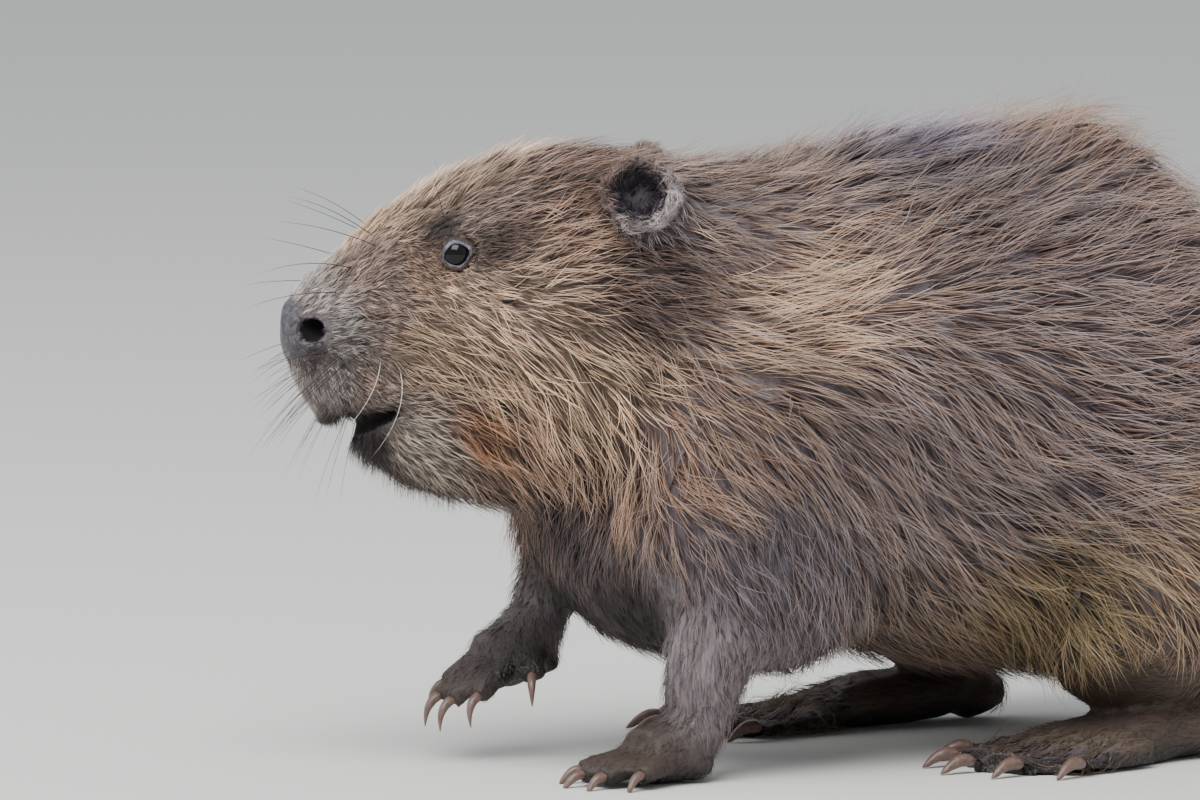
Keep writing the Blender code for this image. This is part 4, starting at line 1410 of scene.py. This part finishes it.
# Settings that a user may change

class BeaverCoatSettings(bpy.types.PropertyGroup):
    """How thick the coat is and how it is sown."""
    cover: FloatProperty(name="Cover", description="How many times the hairs cover the skin",
                         default=1.0, min=0.1, max=2.0, subtype="FACTOR")
    seed: IntProperty(name="Seed", description="Number that the coat's chance is drawn from",
                      default=7, min=0)


class BeaverPartSettings(bpy.types.PropertyGroup):
    """Sizes and colours of the small parts."""
    whisker_width: FloatProperty(name="Whisker width",
                                 description="Thickness of a whisker at its root",
                                 default=0.00042, min=0.0001, max=0.002, unit="LENGTH")
    scale_length: FloatProperty(name="Tail scale",
                                description="Spacing of the scales along the tail",
                                default=0.0048, min=0.002, max=0.01, unit="LENGTH")
    scale_width: FloatProperty(name="Tail scale width",
                               description="Spacing of the scales across the tail",
                               default=0.0062, min=0.002, max=0.01, unit="LENGTH")


class BeaverStageSettings(bpy.types.PropertyGroup):
    """Studio round the model."""
    azimuth: FloatProperty(name="Azimuth", description="Side that the camera stands on",
                           default=math.radians(60), subtype="ANGLE")
    elevation: FloatProperty(name="Elevation", description="Height of the camera over the head",
                             default=math.radians(5), subtype="ANGLE")
    distance: FloatProperty(name="Distance", description="From the camera to the head",
                            default=5.0, unit="LENGTH")
    view_width: FloatProperty(name="View width",
                              description="Width that the camera takes in at the eyes",
                              default=0.504, unit="LENGTH")


# Operators

# Bulge of the cornea and the way that an eye looks, on the left side in the head's frame.
CORNEA = 0.5 * MM
GAZE = (1.0, -0.22, 0.05)
# Rise of a claw's back, as a share of its length.
CLAW_ARCH = 0.13
# The paddle's scales stand on an oval round its middle height, and none on its sharp rim. A scale
# reaches so far across and along, in its spacings, and its top takes a share of that. It sinks in,
# stands up at its edge and its crown, and tips, by so many millimetres.
PADDLE_LEVEL = 0.45
PADDLE_THICK = 0.010
RIM_SLOPE = 0.35
SCALE_ACROSS, SCALE_ALONG, SCALE_TOP = 0.53, 0.62, 0.80
SCALE_SINK, SCALE_EDGE, SCALE_CROWN, SCALE_TIP = 0.35, 0.42, 0.62, 0.25
# Whiskers stand in rows behind this place, and one that leaves the model's room is made shorter, to
# this share at a time, until it is inside.
WHISKER_START = (0.034, -0.0600, -0.0375)
WHISKER_ROWS, WHISKER_COLUMNS = 6, 5
WHISKER_CUT = 0.93


class BuildSkin(bpy.types.Operator):
    """Make the one skin under the coat, with its face, ears and feet"""
    bl_idname = "beaver.build_skin"
    bl_label = "Skin"

    def execute(self, context):
        skin = build_skin()
        activate(skin)
        bpy.ops.object.mode_set(mode="EDIT")
        bpy.ops.mesh.select_all(action="SELECT")
        bpy.ops.uv.smart_project(angle_limit=math.radians(66), island_margin=0.002)
        bpy.ops.object.mode_set(mode="OBJECT")
        skin.data.uv_layers[0].name = "OFBake"
        points = positions(skin)
        lie, _, depth, _, tint = coat_sizes(points)
        # Skin is dark under the head's hair, the coat's own colour under flat hair, and violet grey
        # and dark under deep fur.
        head = on_head(points)[:, None]
        flat = (1 - ramp(depth, 1.5 * MM, 4.0 * MM))[:, None] * (1 - head)
        deep = (1 - flat - head).clip(0, 1)
        base = tint * (0.20 * head + 0.74 * flat + 0.10 * deep) + linear(WOOL) * 0.6 * deep
        upright = np.clip(1.3 * np.abs(unit(lie)[:, 2]) - 0.2, 0, 1)
        add_values(skin, "upright", "FLOAT", upright)
        add_values(skin, "marking", "FLOAT_COLOR", with_alpha(bare_colours(points, base)))
        skin.data.materials.clear()
        for material in (underfur_skin(), nose_leather(), painted_shade_lining()):
            skin.data.materials.append(material)
        middles = np.array([polygon.center for polygon in skin.data.polygons])
        finish = (bare(middles) > 0.5).astype(np.int32)
        # The nostrils and the mouth take the lining of painted shade.
        finish[hollow(to_head(middles))] = 2
        skin.data.polygons.foreach_set("material_index", finish)
        bpy.ops.object.shade_smooth()
        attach(skin, "root")
        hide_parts(*FLESH, *FEET, *EARS)
        return {"FINISHED"}


class BuildCoat(bpy.types.Operator):
    """Grow guard hair and short hair over the skin, in locks that follow its lie"""
    bl_idname = "beaver.build_coat"
    bl_label = "Coat"

    def execute(self, context):
        settings = context.scene.beaver_coat
        skin, tree = read_skin()
        locks = make_locks(skin, tree, settings.seed)
        layers = [make_hairs(skin, locks, settings.seed + 10 * number, settings.cover, layer)
                  for number, layer in enumerate(LAYERS, 1)]
        layers.append(fringe_hairs(skin, settings.seed + 90))
        hairs = {key: np.concatenate([layer[key] for layer in layers]) for key in layers[0]}
        reach = np.linalg.norm(hairs["spots"][:, 3] - hairs["spots"][:, 0], axis=1)
        kinds = {"long": reach >= SHORT, "short": (reach < SHORT) & (reach >= FINE),
                 "fine": reach < FINE}
        material = guard_hair()
        for kind, chosen in kinds.items():
            rows = np.flatnonzero(chosen)
            rows = rows[np.argsort(hairs["spots"][rows, 0, 1])]
            triangles = len(rows) * len(spike_faces(len(BENDS[kind]) - 1))
            shares = np.array_split(rows, math.ceil(triangles / PIECE_TRIANGLES))
            for number, share in enumerate(shares, 1):
                part = {key: values[share] for key, values in hairs.items()}
                piece = hair_mesh(f"coat_{kind}_{number:02d}", part, BENDS[kind], material)
                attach(piece, "root")
        return {"FINISHED"}


class BuildEyes(bpy.types.Operator):
    """Make the two eyeballs, set behind the lids"""
    bl_idname = "beaver.build_eyes"
    bl_label = "Eyes"

    def execute(self, context):
        material = eyeball()
        for name, side in SIDES.items():
            deselect()
            bpy.ops.mesh.primitive_uv_sphere_add(segments=48, ring_count=32, radius=EYE_RADIUS,
                                                 location=(0, 0, 0))
            ball = context.object
            ball.name = name + "_eyeball"
            co = positions(ball)
            front = np.clip(co[:, 2] / EYE_RADIUS, 0, 1)
            co[:, 2] += CORNEA * ramp(front, 0.40, 1.0)
            reach = np.arccos(np.clip(unit(co)[:, 2], -1, 1)) / (math.pi / 2)
            look = HEAD.to_3x3() @ Vector(mirrored(GAZE, side)).normalized()
            turn = np.array(look.to_track_quat("Z", "Y").to_matrix())
            set_positions(ball, co @ turn.T + np.array(middle(name + "_eye")))
            add_values(ball, "pupil", "FLOAT", reach)
            bpy.ops.object.shade_smooth()
            ball.data.materials.append(material)
            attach(ball, "root")
            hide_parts(name + "_eye")
        return {"FINISHED"}


def hooked(claw):
    """Arch a claw along its back, from its thick root to its point."""
    co = positions(claw)
    center = co.mean(axis=0)
    way = np.linalg.svd(co - center)[2][0]
    along = (co - center) @ way
    long = np.ptp(along)
    low_end, high_end = (np.ptp(co[np.abs(along - end) < 0.3 * long], axis=0).sum()
                         for end in (along.min(), along.max()))
    if low_end < high_end:
        way, along = -way, -along
    share = (along - along.min()) / long
    back = np.array((0.0, 0.0, 1.0)) - way * way[2]
    if way[2] < -0.8:
        back = np.array((0.0, -1.0, 0.0)) - way * -way[1]
    arch = CLAW_ARCH * long * (4 * share * (1 - share) - 0.9 * share ** 2)
    arch[share < 0.05] = 0
    set_positions(claw, np.maximum(co + unit(back) * arch[:, None], (-9, -9, 0.0)))
    return claw


class BuildClaws(bpy.types.Operator):
    """Smooth the claws of each foot and streak them like horn"""
    bl_idname = "beaver.build_claws"
    bl_label = "Claws"

    def execute(self, context):
        finish = horn("beaver_claw_horn", "#3a2f2c", "#84685c")
        for foot in FEET:
            stem = foot.replace("_foot", "_claw")
            nodes = [f"{stem}_{number}" for number in range(1, 6)]
            claws = join([hooked(copy_node(node, node + "_horn")) for node in nodes], stem + "s")
            smooth = claws.modifiers.new("smooth", "SUBSURF")
            smooth.levels = 2
            smooth.render_levels = 2
            apply_all(claws)
            bpy.ops.object.shade_smooth()
            claws.data.materials.append(finish)
            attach(claws, "root")
            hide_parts(*nodes)
        return {"FINISHED"}


def scale_places(settings):
    """Middles and normals of the tail's scales, in rows round the paddle, each half a step on."""
    skin, tree = read_skin()
    low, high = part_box("tail")
    height = low.z + (high.z - low.z) * PADDLE_LEVEL
    turns = np.linspace(0, math.tau, 241)
    spots, outs = [], []
    for row in range(int((high.y - low.y - 0.006) / settings.scale_length)):
        y = low.y + 0.004 + row * settings.scale_length
        near = np.abs(skin["co"][:, 1] - y) < 0.003
        if not near.any():
            continue
        half = np.abs(skin["co"][near, 0]).max()
        oval = [(half * math.cos(turn), PADDLE_THICK * math.sin(turn)) for turn in turns]
        steps = np.cumsum([0] + [math.dist(a, b) for a, b in zip(oval, oval[1:])])
        across, up = zip(*oval)
        count = max(6, int(steps[-1] / settings.scale_width))
        for index in range(count):
            aim = (index + 0.5 * (row % 2)) / count * steps[-1]
            place = (np.interp(aim, steps, across), y, height + np.interp(aim, steps, up))
            hit, out, _, _ = tree.find_nearest(Vector(place))
            if hit is not None and hit.z > 1.5 * MM and abs(out.z) > RIM_SLOPE:
                spots.append(hit)
                outs.append(out)
    return np.array(spots), unit(np.array(outs))


class BuildTailScales(bpy.types.Operator):
    """Lay rows of low six-sided scales over the paddle of the tail"""
    bl_idname = "beaver.build_tail_scales"
    bl_label = "Tail scales"

    def execute(self, context):
        settings = context.scene.beaver_parts
        spots, outs = scale_places(settings)
        picks = np.random.default_rng(11)
        count = len(spots)
        along = level(np.tile((0.0, 1.0, 0.0), (count, 1)), outs)
        side = np.cross(outs, along)
        size = picks.uniform(0.92, 1.04, (count, 1))
        corners = np.empty((count, 13, 3))
        for index in range(6):
            angle = math.pi / 6 + index * math.pi / 3
            way = side * math.cos(angle) * settings.scale_width * SCALE_ACROSS * size
            way = way + along * math.sin(angle) * settings.scale_length * SCALE_ALONG * size
            tilt = SCALE_TIP * MM * math.sin(angle)
            corners[:, index] = spots + way - outs * SCALE_SINK * MM
            corners[:, 6 + index] = spots + way * SCALE_TOP + outs * (SCALE_EDGE * MM + tilt)
        corners[:, 12] = spots + outs * SCALE_CROWN * MM
        faces = []
        for index in range(6):
            after = (index + 1) % 6
            faces += [(index, after, 6 + after), (index, 6 + after, 6 + index),
                      (6 + index, 6 + after, 12)]
        faces += [(0, index + 1, index) for index in range(1, 5)]
        scales = from_corners("tail_scales", corners, faces, tail_scale())
        add_values(scales, "crown", "FLOAT", np.tile([0.0] * 6 + [0.65] * 6 + [1.0], count))
        add_values(scales, "shade", "FLOAT", np.repeat(picks.normal(0, 1, count), 13))
        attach(scales, "root")
        return {"FINISHED"}


def whisker_places(picks):
    """Places, directions, lengths and tones of all whiskers, in the head's frame."""
    rows = []
    away, start, top = WHISKER_START
    for side in SIDES.values():
        for row in range(WHISKER_ROWS):
            for column in range(WHISKER_COLUMNS):
                back = 1.25 * ROW_GAP * column
                place = (away * side, start + back + picks.normal(0, 0.0008),
                         top - 0.9 * ROW_GAP * row + 0.10 * back + picks.normal(0, 0.0006))
                way = (side * (0.62 + 0.06 * column), -1.15 + 0.17 * column + picks.normal(0, 0.1),
                       -0.05 - 0.17 * row + picks.normal(0, 0.1))
                length = (0.034 + 0.005 * column) * picks.uniform(0.7, 1.35)
                rows.append((place, way, length, picks.choice((0.0, 0.05))))
        rows += [(mirrored(place, side), mirrored(way, side), length, tone)
                 for place, way, length, tone in BRISTLES]
    return tuple(np.array(values) for values in zip(*rows))


class BuildWhiskers(bpy.types.Operator):
    """Set the long bristles of the muzzle, brows and cheeks"""
    bl_idname = "beaver.build_whiskers"
    bl_label = "Whiskers"

    def execute(self, context):
        settings = context.scene.beaver_parts
        _, tree = read_skin()
        picks = np.random.default_rng(23)
        roots, ways, lengths, tones = whisker_places(picks)
        hits = [tree.find_nearest(Vector(root)) for root in from_head(roots)]
        out = np.array([hit[1] for hit in hits])
        roots = np.array([hit[0] for hit in hits]) - out * 0.001
        ways = unit(ways) @ HEAD_TURN.T
        ways = unit(ways + np.clip(0.35 - (ways * out).sum(axis=1), 0, None)[:, None] * out)
        droop = (np.tile((0.0, 0.15, -1.0), (len(ways), 1))
                 * picks.uniform(0.08, 0.30, (len(ways), 1)))
        droop[tones == 1.0] = HEAD_TURN @ np.array((0.0, -0.55, -0.05))
        low, high = BOX_LOW - WHISKER_ROOM, BOX_LOW + BOX_SIZE + WHISKER_ROOM
        for _ in range(30):
            tips = roots + (ways + droop) * lengths[:, None]
            wide = ((tips < low + 0.002) | (tips > high - 0.002)).any(axis=1)
            lengths = np.where(wide, lengths * WHISKER_CUT, lengths)
        whiskers = strand_mesh("whiskers", roots, ways, droop, lengths, settings.whisker_width,
                               whisker_hair())
        add_values(whiskers, "shade", "FLOAT", np.repeat(tones, STRAND_RINGS * 4 + 1))
        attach(whiskers, "root")
        return {"FINISHED"}


# Lamps: name, place, side of the square that glows, and power in watts.
LAMPS = (("sky_light", (1.2, -1.6, 3.0), 2.6, 174.0),
         ("fill_light", (-2.4, -2.6, 1.6), 2.4, 36.0))
FLOOR_COLOUR = "#d9d8d4"
FLOOR_SIZE = 60.0
SKY_COLOUR = "#e9edf2"
SKY_STRENGTH = 0.8
# How high the camera aims, and how far behind the eyes across its view.
AIM_HEIGHT = 0.1533
AIM_BEHIND = 0.0596
SENSOR = 36.0


class BuildStage(bpy.types.Operator):
    """Set the floor, the soft lights and the camera"""
    bl_idname = "beaver.build_stage"
    bl_label = "Stage"

    def execute(self, context):
        settings = context.scene.beaver_stage
        deselect()
        bpy.ops.mesh.primitive_plane_add(size=FLOOR_SIZE, location=(0, 0, -0.2 * MM))
        floor = context.object
        floor.name = "stage_floor"
        bpy.ops.object.transform_apply(location=True)
        floor.data.materials.append(painted_floor(FLOOR_COLOUR))
        world = bpy.data.worlds.new("soft_sky")
        world.use_nodes = True
        sky = world.node_tree.nodes["Background"]
        sky.inputs["Color"].default_value = rgba(SKY_COLOUR)
        sky.inputs["Strength"].default_value = SKY_STRENGTH
        context.scene.world = world
        for name, place, size, power in LAMPS:
            light = bpy.data.lights.new(name, "AREA")
            light.energy = power
            light.size = size
            lamp = bpy.data.objects.new(name, light)
            context.scene.collection.objects.link(lamp)
            lamp.location = place
            lamp.rotation_euler = (-Vector(place)).to_track_quat("-Z", "Y").to_euler()
        turn, rise = settings.azimuth, settings.elevation
        along = Vector((math.cos(turn), math.sin(turn), 0))
        target = Vector((HEAD.translation.x, HEAD.translation.y, AIM_HEIGHT)) + along * AIM_BEHIND
        toward = Vector((math.sin(turn) * math.cos(rise), -math.cos(turn) * math.cos(rise),
                         math.sin(rise)))
        camera = bpy.data.cameras.new("camera")
        camera.sensor_width = SENSOR
        camera.lens = SENSOR * settings.distance / settings.view_width
        camera.clip_end = FLOOR_SIZE
        stand = bpy.data.objects.new("camera", camera)
        context.scene.collection.objects.link(stand)
        stand.location = target + toward * settings.distance
        stand.rotation_euler = toward.to_track_quat("Z", "Y").to_euler()
        context.scene.camera = stand
        return {"FINISHED"}


class BeaverPanel(bpy.types.Panel):
    """Lists the pieces of the model with their settings"""
    bl_idname = "VIEW3D_PT_beaver"
    bl_label = "Beaver"
    bl_space_type = "VIEW_3D"
    bl_region_type = "UI"
    bl_category = "Beaver"

    def draw(self, context):
        scene = context.scene
        for title, group in (("Coat", scene.beaver_coat), ("Parts", scene.beaver_parts),
                             ("Stage", scene.beaver_stage)):
            box = self.layout.box()
            box.label(text=title)
            for key in group.__annotations__:
                box.prop(group, key)
        for operator in OPERATORS:
            self.layout.operator(operator.bl_idname)


OPERATORS = (BuildStage, BuildSkin, BuildCoat, BuildEyes, BuildClaws, BuildTailScales,
             BuildWhiskers)
GROUPS = (BeaverCoatSettings, BeaverPartSettings, BeaverStageSettings)


def register():
    """Add the classes and the settings to Blender."""
    for kind in (*GROUPS, *OPERATORS, BeaverPanel):
        bpy.utils.register_class(kind)
    bpy.types.Scene.beaver_coat = PointerProperty(type=BeaverCoatSettings)
    bpy.types.Scene.beaver_parts = PointerProperty(type=BeaverPartSettings)
    bpy.types.Scene.beaver_stage = PointerProperty(type=BeaverStageSettings)


def unregister():
    """Take the classes and the settings out again."""
    del bpy.types.Scene.beaver_coat
    del bpy.types.Scene.beaver_parts
    del bpy.types.Scene.beaver_stage
    for kind in reversed((*GROUPS, *OPERATORS, BeaverPanel)):
        bpy.utils.unregister_class(kind)


def main():
    """Build the whole model."""
    register()
    bpy.ops.beaver.build_stage()
    bpy.ops.beaver.build_skin()
    bpy.ops.beaver.build_coat()
    bpy.ops.beaver.build_eyes()
    bpy.ops.beaver.build_claws()
    bpy.ops.beaver.build_tail_scales()
    bpy.ops.beaver.build_whiskers()


if __name__ == "__main__":
    main()
